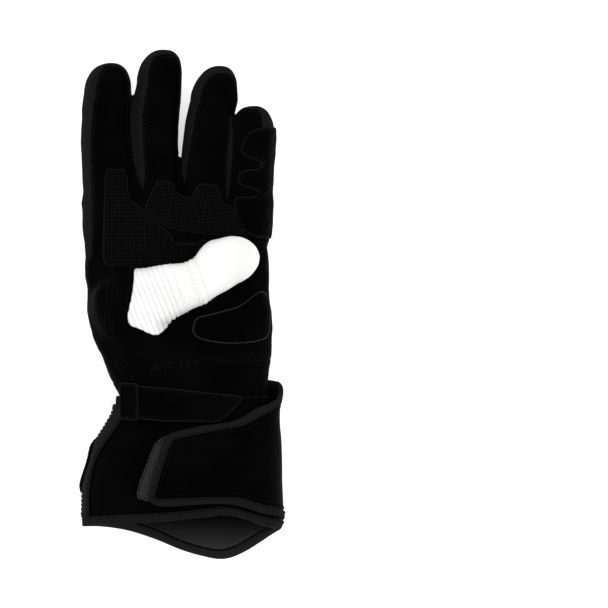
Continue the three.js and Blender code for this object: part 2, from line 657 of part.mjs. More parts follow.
// Pieces sewn on the palm, as high as given above it.
function buildPatches() {
  const thumb = thumbForm(SEAM + PIPING.height, (along) => (along < RIB.to ? RIB.height : 0));
  const hold = join([handClear, thumb, mound(SEAM), ...FINGERS.map((f) => fingerForm(f, SEAM))]);
  const above = palmHalf(1);
  const sewn = (names, outline, height) => {
    const forms = FINGERS.filter((f) => names.includes(f.name)).map((f) => fingerForm(f, height));
    return join([hand(height), ...forms]).intersect(prism(outline)).intersect(above).subtract(hold);
  };
  addPiece("index_patch", sewn(["index", "middle"], INDEX_PATCH, PATCH), COLOUR.weave, 0.7);
  addPiece("finger_patch", sewn(["middle", "ring"], FINGER_PATCH, PATCH), COLOUR.weave, 0.7);
  addPiece("little_guard", sewn(["little"], GUARD_OUTLINE, GUARD), COLOUR.leather, 0.5);
  addPiece("heel_pad", sewn([], HEEL_OUTLINE, HEEL_PAD), COLOUR.leather, 0.5);
}

// A band across the wrist, from its first row to its last, lying between two heights above the cuff.
function band(rows, inner, outer, grow = 0) {
  const turns = rows.map((r) => turnAt(CUFF, r.x, STRAP_Y));
  const edge = (name, shift) => (turn) =>
    column(rows, "x", name, cuffPoint(CUFF, turn, STRAP_Y, 0)[0]) + shift;
  const [from, to] = [turns[0] - grow / GIRTH, turns[turns.length - 1] + grow / GIRTH];
  const ends = { low: edge("bottom", -grow), high: edge("top", grow) };
  return strip({ from, to, ...ends, inner, outer, extra: turns.slice(1, -1) });
}

function buildSidePad() {
  const { from, to, top, bottom, height, corner } = SIDE_PAD;
  const near = 0.02; // share of a turn over which a corner is cut
  const cut = (turn) => corner * Math.max(0, 1 - Math.min(turn - from, to - turn) / near);
  const ends = { low: (turn) => bottom + cut(turn), high: (turn) => top - cut(turn) };
  return strip({ from, to, ...ends, inner: SEAM, outer: SEAM + height, extra: [from + near], steps: 4 });
}

// The flap's outline laid out flat, moved in from its outer edges at the top and the bottom.
function flapOutline(outline, trim) {
  const last = FLAP_ROOT.length - 1;
  const edge = (name, shift) => FLAP_ROOT.map((r, i) =>
    [r.turn * GIRTH + (i === last ? trim : 0), r[name] + shift]);
  return [...edge("top", -trim).reverse(), ...flat(FLAP, outline), ...edge("bottom", trim)];
}

function buildCuff(table) {
  const inner = -CUFF_WALL;
  addPiece("cuff_panel", strip(CUFF_PANEL), COLOUR.leather, 0.6);
  const tape = { inner: inner - TAPE_IN, outer: TAPE_OUT };
  const rim = strip({ ...whole, low: rimY, high: rimTop, ...tape });
  addPiece("rim_binding", rim.subtract(table), COLOUR.binding, 0.75);
  const lining = { inner: inner - SEAM - LINING, outer: inner - SEAM, steps: 2 };
  const halfway = (turn) => (panelEdge(turn) + CUFF_TOP) / 2;
  addPiece("cuff_lining", strip({ ...whole, low: panelEdge, high: halfway, ...lining }), COLOUR.lining, 0.9);

  const cuffClear = strip({ ...CUFF_PANEL, outer: SEAM }).add(handClear);
  const bed = 2 * SEAM + FLAT_TAPE; // the strap runs over the side binding
  addPiece("wrist_strap", band(WRIST_STRAP, bed, bed + STRAP), COLOUR.leather, 0.55);
  const keeperBed = bed + STRAP + SEAM;
  addPiece("strap_keeper", band(KEEPER, keeperBed, keeperBed + LOOP), COLOUR.leather, 0.55);
  const strapClear = band(WRIST_STRAP, bed - SEAM, keeperBed, SEAM);

  const far = SIDE_BINDING.turn * GIRTH;
  const bottom = SIDE_BINDING.inner[SIDE_BINDING.inner.length - 1][1];
  const sideTape = [...flat(CUFF, SIDE_BINDING.inner), [far, bottom], [far, SIDE_BINDING.top]];
  const side = wrapped(CUFF, sideTape, 0, SEAM + FLAT_TAPE).subtract(join([cuffClear, strapClear]));
  addPiece("side_binding", side, COLOUR.binding, 0.75);
  addPiece("side_pad", buildSidePad(), COLOUR.leather, 0.6);

  const hole = flapOutline(FLAP_INNER, BINDING);
  const flapTape = wrapped(FLAP, flapOutline(FLAP_OUTER, 0), -FLAP_WALL, FLAP_TAPE_OUT, { hole });
  addPiece("flap_binding", flapTape.subtract(cuffClear), COLOUR.binding, 0.75);
  const flap = wrapped(FLAP, inset(hole, SEAM), -FLAP_WALL, 0).subtract(cuffClear);
  addPiece("cuff_flap", flap, COLOUR.leather, 0.6);
  const hook = wrapped(CUFF, flat(CUFF, HOOK_OUTLINE), 0, SEAM + HOOK).subtract(cuffClear);
  addPiece("hook_strip", hook, COLOUR.hook, 0.95);
}

const table = buildHand();
buildThumb();
buildPatches();
buildCuff(table);

export default glove;
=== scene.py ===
import math
from functools import reduce
import bpy
import numpy as np
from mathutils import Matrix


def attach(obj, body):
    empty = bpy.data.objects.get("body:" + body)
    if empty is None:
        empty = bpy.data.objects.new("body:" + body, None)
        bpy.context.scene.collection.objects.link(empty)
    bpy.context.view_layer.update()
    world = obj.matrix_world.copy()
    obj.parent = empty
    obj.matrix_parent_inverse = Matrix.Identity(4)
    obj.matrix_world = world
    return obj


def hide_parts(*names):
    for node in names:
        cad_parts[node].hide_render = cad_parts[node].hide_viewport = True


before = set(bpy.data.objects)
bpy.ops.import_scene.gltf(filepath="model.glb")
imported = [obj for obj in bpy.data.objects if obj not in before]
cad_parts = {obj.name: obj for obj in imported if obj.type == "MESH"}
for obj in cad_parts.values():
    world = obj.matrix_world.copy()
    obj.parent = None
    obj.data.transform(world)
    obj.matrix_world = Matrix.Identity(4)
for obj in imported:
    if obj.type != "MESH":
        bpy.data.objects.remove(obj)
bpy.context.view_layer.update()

MM = 0.001

# Sizes
LEATHER = 2.2
CUFF_WALL = 2.1
SEAM = -0.55  # sewn pieces reach into each other, and their rounded edges leave a groove
PATCH = 1.5
SECTION_POWER = 2.7
FINGER_POWER = 2.9
TIP_POWER = 2.3
BINDING = 5.4
CUFF_TOP = -55.0
HAND_STEP = 0.92
THUMB_STEP = 0.66
UNDER = 1.2  # how far the back's leather reaches under the strips beside it
SKIN_DEPTH = 1.5  # how far above a finger its pieces are cut out
BACK_START = 66.0  # y above which a finger's back is a piece of its own form
STRIP_FROM = -20.0  # x left of which the hand's side strip can lie
WRIST_END = -65.9
ROOT = 12.0  # length over which the forms of fingers and thumb close at their roots
PIXEL = 0.6  # size of a photograph's pixel, and the columns of its middle and the glove's
PHOTO_WIDTH = 608
PHOTO_MIDDLE = 304.0
GLOVE_MIDDLE = 181.5
SIDE_JOIN = 62.0  # y at which the hand's side strip meets the index finger's
GRIP_PITCH = 2.2
GRIP_TURN = 8.0  # degrees
GRIP_LINE = 0.42  # width of the raised lines of a grip patch, their height, and how far it all is sunk
GRIP_HEIGHT = 0.35
GRIP_SINK = 0.3


def table(names, *rows):
    names = names.split()
    rows = sorted(rows)
    return {"key": names[0], **{n: np.array([float(r[i]) for r in rows]) for i, n in enumerate(names)}}


HAND = table(
    "y x half low top",
    (-66, 7, 42.2, 9.8, 43.2),
    (-56, 6.8, 43.7, 8.4, 44.8),
    (-44, 4.9, 47.5, 6, 44),
    (-32, 2.8, 50.7, 4, 43),
    (-20, 0.6, 53.6, 2.5, 41.5),
    (-8, -0.8, 55, 1.5, 39.5),
    (10, -2.2, 54.7, -0.2, 37),
    (30, -3, 55, -0.6, 35),
    (50, -3.2, 55.2, 0, 33),
    (61, -3.4, 55.6, 3, 31),
    (68, -3.6, 53, 8, 26.5),
)


def finger(roll, tip, lean, wall, over, *rows):
    """A finger's sections, and what goes with them.

    roll turns the section in degrees, tip is the tip's length and lean its shift, wall is the side
    wall's share of the thickness and over its least half width.
    """
    rows = table("y x z half thick", *rows)
    return dict(roll=roll, tip=tip, lean=lean, wall=wall, over=over, rows=rows)


FINGERS = {
    "index": finger(
        20, 18.8, 2, 0.74, 4.2,
        (46, -43, 17.5, 14.4, 13), (80, -44.2, 18, 15, 12.5), (101, -45.4, 20, 14.5, 12),
        (115, -45.2, 22.6, 14.3, 11.5), (126, -44.2, 25.4, 13.8, 10.9)),
    "middle": finger(
        22, 20, 3, 0.7, 5.9,
        (46, -15, 17.5, 13.4, 13), (78, -15, 17.8, 13.3, 12.7), (96, -16.1, 19.2, 13.6, 12.3),
        (114, -15.7, 22.2, 14, 11.7), (133, -13.2, 27.4, 13.2, 10.8)),
    "ring": finger(
        21, 21, 3.8, 0.65, 6.6,
        (46, 12.4, 17.5, 13.4, 12.8), (76, 12.8, 18.1, 13.4, 12.4), (96, 14.5, 20.4, 13.5, 11.9),
        (112, 17.2, 23.6, 14, 11.3), (122, 19.7, 26.4, 13.8, 10.8)),
    "little": finger(
        -20, 17, 1, 0.76, 4,
        (44, 39.6, 17.5, 12.3, 12.2), (74, 40.9, 19.2, 12.2, 11.4), (94, 42.1, 22, 12.4, 10.7),
        (102, 42.2, 23.6, 12.7, 10.3)),
}
THUMB_ANGLE = math.radians(20)
THUMB = table(
    "along across z half thick",
    (-40, 9.3, 30, 18, 15.5), (-30, 9.4, 34, 20.4, 15.2), (-20, 9.4, 37.6, 20.2, 14.6),
    (-12, 9.5, 40.8, 18, 13.8), (-3, 9.8, 44.4, 16.2, 13), (5, 9.4, 47.6, 14.4, 12.3),
    (11, 9.1, 49.6, 13.7, 11.8), (16, 9.7, 51, 13.7, 11.6), (22, 12.1, 52, 14.9, 11.8),
    (28, 13.7, 52.4, 15.5, 11.9), (36, 14.7, 52.4, 14.3, 11.5),
)
THUMB_TIP = 18
RIB = dict(end=-2.8, pitch=3.1, valley=0.56, depth=0.65, lean=0.03)
BAND_END = 12.6
PIPING_END = 15.2
# The mound at the thumb's root as a row of balls: x, y, z and radius
MOUND = [
    (-6, -50, 27, 14.5), (-14, -36, 29.5, 18), (-23, -20, 29.5, 20), (-30, -5, 29.5, 20),
    (-33, 5.5, 27.5, 17),
]
CUFF = table(
    "y x half low top",
    (-44, 7, 47, 6, 46.8), (-58, 6.8, 46.3, 5.8, 47.6), (-64, 6.7, 46.9, 5, 49),
    (-72, 5.2, 49.6, 3.2, 52.5), (-82, 2.6, 53, 1.8, 57), (-94, 1.2, 54.8, 1, 61.5),
    (-108, -0.8, 57, 0.6, 65), (-124, 0.2, 58.9, 0.3, 67.5), (-130, 0.9, 59.9, 0.3, 67.9),
    (-137, -0.4, 58.7, 0.3, 68.3), (-158, -0.4, 59, 0.3, 69),
)
FLAP = table(
    "y x half low top",
    (-40, 8.2, 52.2, 2, 53), (-50, 8.4, 52.8, 2, 53.6), (-58, 7.8, 51.9, 1.6, 54),
    (-70, 4.8, 54.2, 0, 56.6), (-82, 1.6, 58.3, -2.1, 61.3), (-94, 0, 60.3, -2.9, 65.8),
    (-108, -1.1, 61.6, -3.3, 69.3), (-124, -0.8, 62.2, -3.4, 71.8), (-158, -0.4, 63.3, -3.4, 73.3),
)
RIM = table(
    "x front back",
    (-61, -133.5, -133.5), (-50, -132.5, -133.5), (-34, -131.8, -135.5), (-15, -130.8, -141),
    (3, -129.4, -148), (15, -128, -151.3), (28, -126.6, -153), (41, -129.5, -148.5),
    (50, -132.6, -143.2), (61, -135, -135.5),
)

# Outlines of the sewn-on pieces, from the palm side
INDEX_PATCH = [
    (-45.5, 79.5), (-41, 80.6), (-35.5, 80.2), (-34, 77.5), (-32.9, 69), (-31.2, 62.6),
    (-26.6, 58.8), (-21.8, 55.2), (-17.6, 50.7), (-13.4, 46.9), (-9.4, 43.8), (-6.4, 40.6),
    (-4.4, 37.4), (-3.2, 36.4), (8, 36.2),
    (14, 37.5), (14, 20), (-12, 20.8), (-32, 21.8), (-41, 22.4), (-46.2, 27), (-46.5, 45), (-46, 65),
]
PATCH_HEM = [(-46, 30.6), (-43.5, 27.6), (-39.5, 26.2), (-28, 25.7), (-16, 25)]
FINGER_PATCH = [
    (-21.2, 58), (-19, 64), (-16.4, 70), (-14.6, 73), (-9, 73.4), (-5.6, 72), (-3.6, 68),
    (-1.2, 64.6), (6, 63.8), (8.6, 68.5), (11.2, 71.6), (17, 71.8), (21.4, 70), (23.2, 64.5),
    (25.2, 59.6), (31, 57.6), (32.2, 50), (34.4, 46), (37.6, 42.6), (26, 41.8), (14, 42),
    (2, 44), (-7.4, 45.8), (-12, 48), (-15.8, 51.3), (-19.8, 55.6),
]
GUARD = [
    (80, 105.5), (62, 106), (50, 105.6), (43, 103.8), (38.4, 99), (36.8, 91), (46, 86.4), (50, 83.6),
    (46, 81), (36, 79.2), (35.4, 72.4), (43, 69.2), (47.2, 66.4), (43, 64.2), (33, 63),
    (32.6, 57), (35, 49), (39.6, 43.4), (48, 40.4), (62, 39.6), (80, 39.6),
]
HEEL = [
    (7.2, -14), (9.2, -9), (15, -7.2), (24.5, -4.7), (33.6, -2), (39.6, 1.8), (44.6, 6),
    (47.6, 7.2), (50.2, 5.6), (51.6, 1), (52.2, -8), (51.4, -17.8), (48, -21.4), (40, -23),
    (27.4, -23.4), (16, -22), (10, -20), (7.4, -17.2),
]
LOWER_PALM = [
    (-38.1, 24.5), (-38.8, 12), (-41, 2.7), (-42.2, -12), (-41, -21.5), (-36.8, -32),
    (-32, -40.5), (-26, -46.5), (-21, -52), (-12, -56), (20, -58), (64, -58),
    (64, 39.6), (47, 40), (38, 41.4), (14, 24.5),
]
THUMB_ROOT = [
    (-28, 34), (-29.6, 10), (-32.8, -10.3), (-24.7, -15.8), (-14.8, -19.2), (-6.8, -13.6),
    (1.2, -8.8), (16, -4), (40, -4), (64, -4), (64, 60), (-28, 60),
]
WRIST = [
    (-80, -46.8), (-20, -46.8), (-18, -37.2), (0, -36), (30, -33.5), (80, -32), (80, -90), (-80, -90),
]
INDEX_SIDE = [
    (-90, 120), (-53.2, 120), (-53.2, 60), (-53.4, 40), (-54.2, 28), (-50, 14), (-40, 0),
    (-30, -20), (-20, -44), (-20, -70), (-90, -70),
]

# Edges of the palm's leather along the fingers, and the areas that it covers, from the palm side
INDEX_OUTER = [
    (-52.2, 122), (-53.4, 110.7), (-54.2, 98.7), (-54.2, 86.7), (-53.8, 74.7), (-53.6, 62.7),
    (-53.3, 53.7), (-53.8, 44.7), (-54.7, 35.7), (-55.4, 25.5), (-55.9, 14.7),
]
INDEX_INNER = [(-30.3, 101), (-29.3, 88), (-27, 77.5), (-23.8, 69.2)]
MIDDLE_OUTER = [(-20.7, 87), (-21.4, 79), (-22.3, 72), (-23.4, 66)]
MIDDLE_INNER = [(-0.4, 89), (0.4, 78), (1.9, 71)]
RING_OUTER = [(10, 120), (8, 110), (5.6, 96.5), (4.2, 86.7), (2.7, 77.1)]
WEBS = [
    INDEX_OUTER + [(-44, 14.7), (-44, 122)],
    INDEX_INNER + [(-18, 66), (-18, 56), (-38, 56), (-38, 101)],
    MIDDLE_OUTER + [(-12, 66), (-12, 87)],
    MIDDLE_INNER + RING_OUTER[::-1] + [(18, 120), (18, 56), (-5, 56), (-5, 89)],
]
GUSSET = [(29.4, 112), (30.8, 102), (30.2, 84), (28, 65), (26.6, 65), (26.9, 84), (28.3, 102)]
SIDE_STRIP = table(
    "y low top",
    (-70, 14.5, 19), (-20, 14.5, 19), (0, 14.2, 19), (10, 13.8, 20), (20, 13.1, 22.4), (28, 12.4, 27),
    (32, 12.2, 40), (44, 11.8, 60), (54, 11.7, 60), (62, 11.8, 60),
)
# How far up two neighbouring fingers are joined
JOINS = (("index", "middle", 126.5, 5), ("middle", "ring", 89.5, 4), ("ring", "little", 114, 7))


# Fields
def read(tab, name, at):
    """A column of a table on a smooth curve, at values of its first column."""
    k, v = tab[tab["key"]], tab[name]
    at = np.clip(at, k[0], k[-1])
    slope = np.gradient(v, k)
    i = np.clip(np.searchsorted(k, at) - 1, 0, len(k) - 2)
    span = k[i + 1] - k[i]
    t = (at - k[i]) / span
    rise, fall = 3 * t**2 - 2 * t**3, 2 * t**3 - 3 * t**2 + 1
    bow = slope[i] * (t**3 - 2 * t**2 + t) + slope[i + 1] * (t**3 - t**2)
    return v[i] * fall + v[i + 1] * rise + span * bow


def smax(a, b, k):
    """The larger of two fields, rounded over k millimetres where they meet."""
    h = np.clip(k - np.abs(a - b), 0, None) / k
    return np.maximum(a, b) + h * h * k / 4


def smin(a, b, k):
    return -smax(-a, -b, k)


def power_sum(a, b, p):
    return (np.abs(a) ** p + np.abs(b) ** p) ** (1 / p)


def signed_power(v, p):
    return np.sign(v) * np.abs(v) ** p


def ridges(at, pitch, width):
    """1 on evenly spaced lines, falling off over that width."""
    beat = at / pitch
    return np.exp(-(((beat - np.round(beat)) * pitch / width) ** 2))


def unit(v):
    return v / (np.linalg.norm(v, axis=1, keepdims=True) + 1e-9)


def outline_field(x, y, outline):
    """Distance to a closed outline, negative inside."""
    shape = np.broadcast(x, y).shape
    best = np.full(shape, np.inf)
    inside = np.zeros(shape, bool)
    points = [np.array(p, float) for p in outline]
    for a, b in zip(points, points[1:] + points[:1]):
        ex, ey = b - a
        if not (ex or ey):
            continue
        wx, wy = x - a[0], y - a[1]
        t = np.clip((wx * ex + wy * ey) / (ex * ex + ey * ey), 0, 1)
        best = np.minimum(best, (wx - ex * t) ** 2 + (wy - ey * t) ** 2)
        if ey:
            inside ^= ((a[1] > y) != (b[1] > y)) & (x < ex * (y - a[1]) / ey + a[0])
    return np.sqrt(best) * np.where(inside, -1, 1)


def smooth_line(points, step=0.8, closed=False):
    """Evenly spaced points on a smooth curve through the given ones."""
    p = np.asarray(points, float)
    ends = (p[-1:], p[:2]) if closed else (2 * p[:1] - p[1:2], 2 * p[-1:] - p[-2:-1])
    q = np.vstack([ends[0], p, ends[1]])
    out = []
    for i in range(1, len(q) - 2):
        a, b, c, d = q[i - 1 : i + 3]
        t = np.linspace(0, 1, 12, endpoint=False)[:, None]
        curve = (2 * a - 5 * b + 4 * c - d) * t**2 + (3 * b - a - 3 * c + d) * t**3
        out.append(0.5 * (2 * b + (c - a) * t + curve))
    return even_line(np.vstack(out + [p[:1] if closed else p[-1:]]), step)


def run_along(line):
    """How far each point of a line is from its start."""
    return np.concatenate([[0], np.cumsum(np.linalg.norm(np.diff(line, axis=0), axis=1))])


def even_line(line, step):
    run = run_along(line)
    at = np.linspace(0, run[-1], max(int(round(run[-1] / step)), 2) + 1)
    return np.stack([np.interp(at, run, line[:, i]) for i in range(line.shape[1])], axis=1)


def hand_middle(y):
    return (read(HAND, "low", y) + read(HAND, "top", y)) / 2


def hand_form(x, y, z):
    cx, half, low, top = (read(HAND, n, y) for n in ("x", "half", "low", "top"))
    tall = (top - low) / 2
    r = power_sum((x - cx) / half, (z - low - tall) / tall, SECTION_POWER)
    return smax((r - 1) * tall, y - 67, 7)


def tip_climb(rows):
    """How steeply a finger's middle line rises at its tip."""
    return (rows["z"][-1] - rows["z"][-2]) / (rows["y"][-1] - rows["y"][-2])


def finger_frame(f, x, y, z):
    """Places across a finger and up from its middle line, and shares of its tip and root."""
    rows, roll = f["rows"], math.radians(f["roll"])
    start, end = rows["y"][0], rows["y"][-1]
    past = np.clip(y - end, 0, f["tip"] * 1.3)
    dx = x - read(rows, "x", y) - f["lean"] * (past / f["tip"]) ** 2
    dz = z - read(rows, "z", y) - tip_climb(rows) * past
    across = dx * math.cos(roll) - dz * math.sin(roll)
    up = dx * math.sin(roll) + dz * math.cos(roll)
    return across, up, past / f["tip"], np.clip(start - y, 0, None) / ROOT


def tip_size(past):
    """Share of its full section that a fingertip has at a share of the tip's length."""
    return (1 - np.clip(past, 0, 1) ** TIP_POWER) ** (1 / TIP_POWER)


def finger_form(f, x, y, z):
    across, up, past, before = finger_frame(f, x, y, z)
    half, thick = read(f["rows"], "half", y), read(f["rows"], "thick", y)
    r = power_sum(across / half, up / thick, FINGER_POWER)
    return ((r**TIP_POWER + past**TIP_POWER + before**TIP_POWER) ** (1 / TIP_POWER) - 1) * thick


def side_wall(f, x, y, z):
    """Negative between the two seams that run along a finger's sides and over its tip."""
    _, up, past, _ = finger_frame(f, x, y, z)
    thick = read(f["rows"], "thick", y) * tip_size(past)
    return np.abs(up) - np.maximum(thick * f["wall"], f["over"])


def thumb_frame(x, y):
    """Places along and across the thumb, which lies turned in the palm's plane."""
    c, s = math.cos(THUMB_ANGLE), math.sin(THUMB_ANGLE)
    return x * c + y * s, y * c - x * s


def thumb_form(x, y, z):
    along, across = thumb_frame(x, y)
    end = THUMB["along"][-1]
    past = np.clip(along - end, 0, None) / THUMB_TIP
    before = np.clip(THUMB["along"][0] - along, 0, None) / ROOT
    a = across - read(THUMB, "across", along) + past**2
    b = z - read(THUMB, "z", along)
    half, thick = read(THUMB, "half", along), read(THUMB, "thick", along)
    r = power_sum(a / half, b / thick, FINGER_POWER)
    return (np.sqrt(r**2 + past**2 + before**2) - 1) * thick


def mound_form(x, y, z):
    limbs = []
    for a, b in zip(MOUND, MOUND[1:]):
        a, b = np.array(a, float), np.array(b, float)
        e = (b - a)[:3]
        t = np.clip(((x - a[0]) * e[0] + (y - a[1]) * e[1] + (z - a[2]) * e[2]) / (e @ e), 0, 1)
        gap = (x - a[0] - e[0] * t) ** 2 + (y - a[1] - e[1] * t) ** 2 + (z - a[2] - e[2] * t) ** 2
        limbs.append(np.sqrt(gap) - a[3] - (b[3] - a[3]) * t)
    return np.minimum.reduce(limbs)


def creases(x, y, z, size, length, seed, waves=9):
    """Gentle unevenness of soft leather: waves of about that length that run in all directions."""
    rng = np.random.default_rng(seed)
    total = 0
    for _ in range(waves):
        way = rng.normal(size=3)
        way *= 2 * np.pi / (np.linalg.norm(way) * length * rng.uniform(0.7, 1.6))
        total = total + np.sin(way[0] * x + way[1] * y + way[2] * z + rng.uniform(0, 6.3))
    return total * size / 3


class Grid:
    """Evenly spaced points of a box, low and high in millimetres."""

    def __init__(self, low, high, step):
        self.low = np.array(low, float)
        self.step = np.broadcast_to(np.array(step, float), (3,))
        counts = np.ceil((np.array(high) - self.low) / self.step).astype(int) + 1
        self.axes = [self.low[i] + self.step[i] * np.arange(counts[i]) for i in range(3)]
        self.at = self.x, self.y, self.z = np.ix_(*self.axes)

    def distance(self, field):
        """The field scaled so that it grows by one for each millimetre."""
        field = np.broadcast_to(field, [len(a) for a in self.axes]).astype(np.float32)
        slopes = np.gradient(field, *self.step)
        return field / np.clip(np.sqrt(sum(s * s for s in slopes)), 0.35, 3)


def sample(field, grid, points):
    """A field's values at any points."""
    field = np.broadcast_to(field, [len(a) for a in grid.axes])
    at = (points - grid.low) / grid.step
    cell = np.clip(np.floor(at).astype(int), 0, np.array(field.shape) - 2)
    t = np.clip(at - cell, 0, 1)
    total = 0
    for corner in np.ndindex(2, 2, 2):
        i, j, k = (cell + corner).T
        share = np.prod(np.where(corner, t, 1 - t), axis=1)
        total = total + field[i, j, k] * share
    return total


def resample(field, grid, fine):
    """A field's values on another grid."""
    for axis in range(3):
        at = (fine.axes[axis] - grid.low[axis]) / grid.step[axis]
        cell = np.clip(np.floor(at).astype(int), 0, field.shape[axis] - 2)
        part = np.clip(at - cell, 0, 1).reshape([-1 if i == axis else 1 for i in range(3)])
        near, far = np.take(field, cell, axis), np.take(field, cell + 1, axis)
        field = near + (far - near) * part
    return field.astype(np.float32)


def slope(field, grid, points):
    parts = []
    for half_step in np.diag(0.5 * grid.step):
        parts.append(sample(field, grid, points + half_step) - sample(field, grid, points - half_step))
    return np.stack(parts, axis=1) / grid.step


def settle(field, grid, points, rounds=2, reach=None):
    """Points moved onto the surface where the field is zero."""
    reach = float(min(grid.step)) * 0.6 if reach is None else reach
    for _ in range(rounds):
        g = slope(field, grid, points)
        size = np.clip((g * g).sum(axis=1), 0.05, None)
        move = np.clip(sample(field, grid, points) / np.sqrt(size), -reach, reach) / np.sqrt(size)
        points = points - g * move[:, None]
    return points


def skin(field, grid, closed=False):
    """Points and faces of the surface where the field is zero, one point in each cell that it crosses."""
    low = np.zeros(3, int)
    if not closed:
        inside = field < 0
        spans = [np.flatnonzero(inside.any(axis=tuple(j for j in range(3) if j != i))) for i in range(3)]
        low = np.array([max(s[0] - 2, 0) for s in spans])
        high = [min(s[-1] + 3, n) for s, n in zip(spans, field.shape)]
        field = field[tuple(slice(a, b) for a, b in zip(low, high))]
    field = np.pad(field, [(0, 0) if closed and i == 0 else (1, 1) for i in range(3)], constant_values=9)
    low = low - [0 if closed and i == 0 else 1 for i in range(3)]
    shape = np.array(field.shape)
    cells, spots, faces = [], [], []
    for axis in range(3):
        ahead = np.roll(field, -1, axis)
        cross = (field < 0) != (ahead < 0)
        if not (closed and axis == 0):
            cross[tuple(slice(-1, None) if i == axis else slice(None) for i in range(3))] = False
        at = np.argwhere(cross)
        a, b = field[cross], ahead[cross]
        spot = at.astype(float)
        spot[:, axis] += a / (a - b)
        u, v = [i for i in range(3) if i != axis]
        ring = []
        for du, dv in ((0, 0), (1, 0), (1, 1), (0, 1)):
            cell = at.copy()
            cell[:, u] -= du
            cell[:, v] -= dv
            moved = spot.copy()
            if closed:
                wrapped = cell[:, 0] < 0
                cell[wrapped, 0] += shape[0]
                moved[wrapped, 0] += shape[0]
            flat = (cell[:, 0] * shape[1] + cell[:, 1]) * shape[2] + cell[:, 2]
            cells.append(flat)
            spots.append(moved)
            ring.append(flat)
        quad = np.stack(ring, axis=1)
        turn = (a < 0) if axis != 1 else (a >= 0)
        faces.append(np.where(turn[:, None], quad, quad[:, ::-1]))
    cells, spots, faces = np.concatenate(cells), np.concatenate(spots), np.concatenate(faces)
    used, index = np.unique(cells, return_inverse=True)
    counts = np.bincount(index)
    points = np.stack([np.bincount(index, spots[:, i]) / counts for i in range(3)], axis=1)
    faces = np.searchsorted(used, faces)
    return grid.low + (points + low) * grid.step, faces


def without_crumbs(points, faces, least=30):
    """The same surface without its loose bits of fewer faces than least."""
    label = np.arange(len(points))
    while True:
        lowest = label[faces].min(axis=1)
        joined = label.copy()
        for corner in faces.T:
            np.minimum.at(joined, corner, lowest)
        joined = joined[joined]
        if (joined == label).all():
            break
        label = joined
    body = label[faces[:, 0]]
    faces = faces[np.bincount(body)[body] >= least]
    used, index = np.unique(faces, return_inverse=True)
    return points[used], index.reshape(faces.shape)


# Pieces
def make_piece(name, points, faces, finish, nodes=(), flat=None, **values):
    """A mesh from points in millimetres. finish is a material and its slot."""
    material, slot = finish
    mesh = bpy.data.meshes.new(name)
    points, faces = np.asarray(points), np.asarray(faces)
    mesh.vertices.add(len(points))
    mesh.vertices.foreach_set("co", (points * MM).astype(np.float32).ravel())
    mesh.loops.add(faces.size)
    mesh.loops.foreach_set("vertex_index", faces.astype(np.int32).ravel())
    mesh.polygons.add(len(faces))
    mesh.polygons.foreach_set("loop_start", np.arange(0, faces.size, faces.shape[1], dtype=np.int32))
    if flat is not None:
        layer = mesh.uv_layers.new(name="flat")
        layer.data.foreach_set("uv", (flat[faces.ravel()] * MM).astype(np.float32).ravel())
    for key, value in values.items():
        mesh.attributes.new(key, "FLOAT", "POINT").data.foreach_set("value", value.astype(np.float32))
    mesh.update(calc_edges=True)
    mesh.validate()
    mesh.polygons.foreach_set("use_smooth", np.ones(len(mesh.polygons), bool))
    mesh.materials.append(material)
    thing = bpy.data.objects.new(name, mesh)
    bpy.context.scene.collection.objects.link(thing)
    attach(thing, "root")
    if nodes:
        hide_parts(*nodes)
    return thing


# Materials, and the slots of those that don't have a slot's own name
SLOTS = {
    "pad_leather": "black_leather", "black_thread": "black_leather", "cuff_thread": "black_leather",
    "edge_cord": "black_leather", "pad_cord": "black_leather", "white_thread": "white_leather",
    "grip_patch_turned": "grip_patch",
}


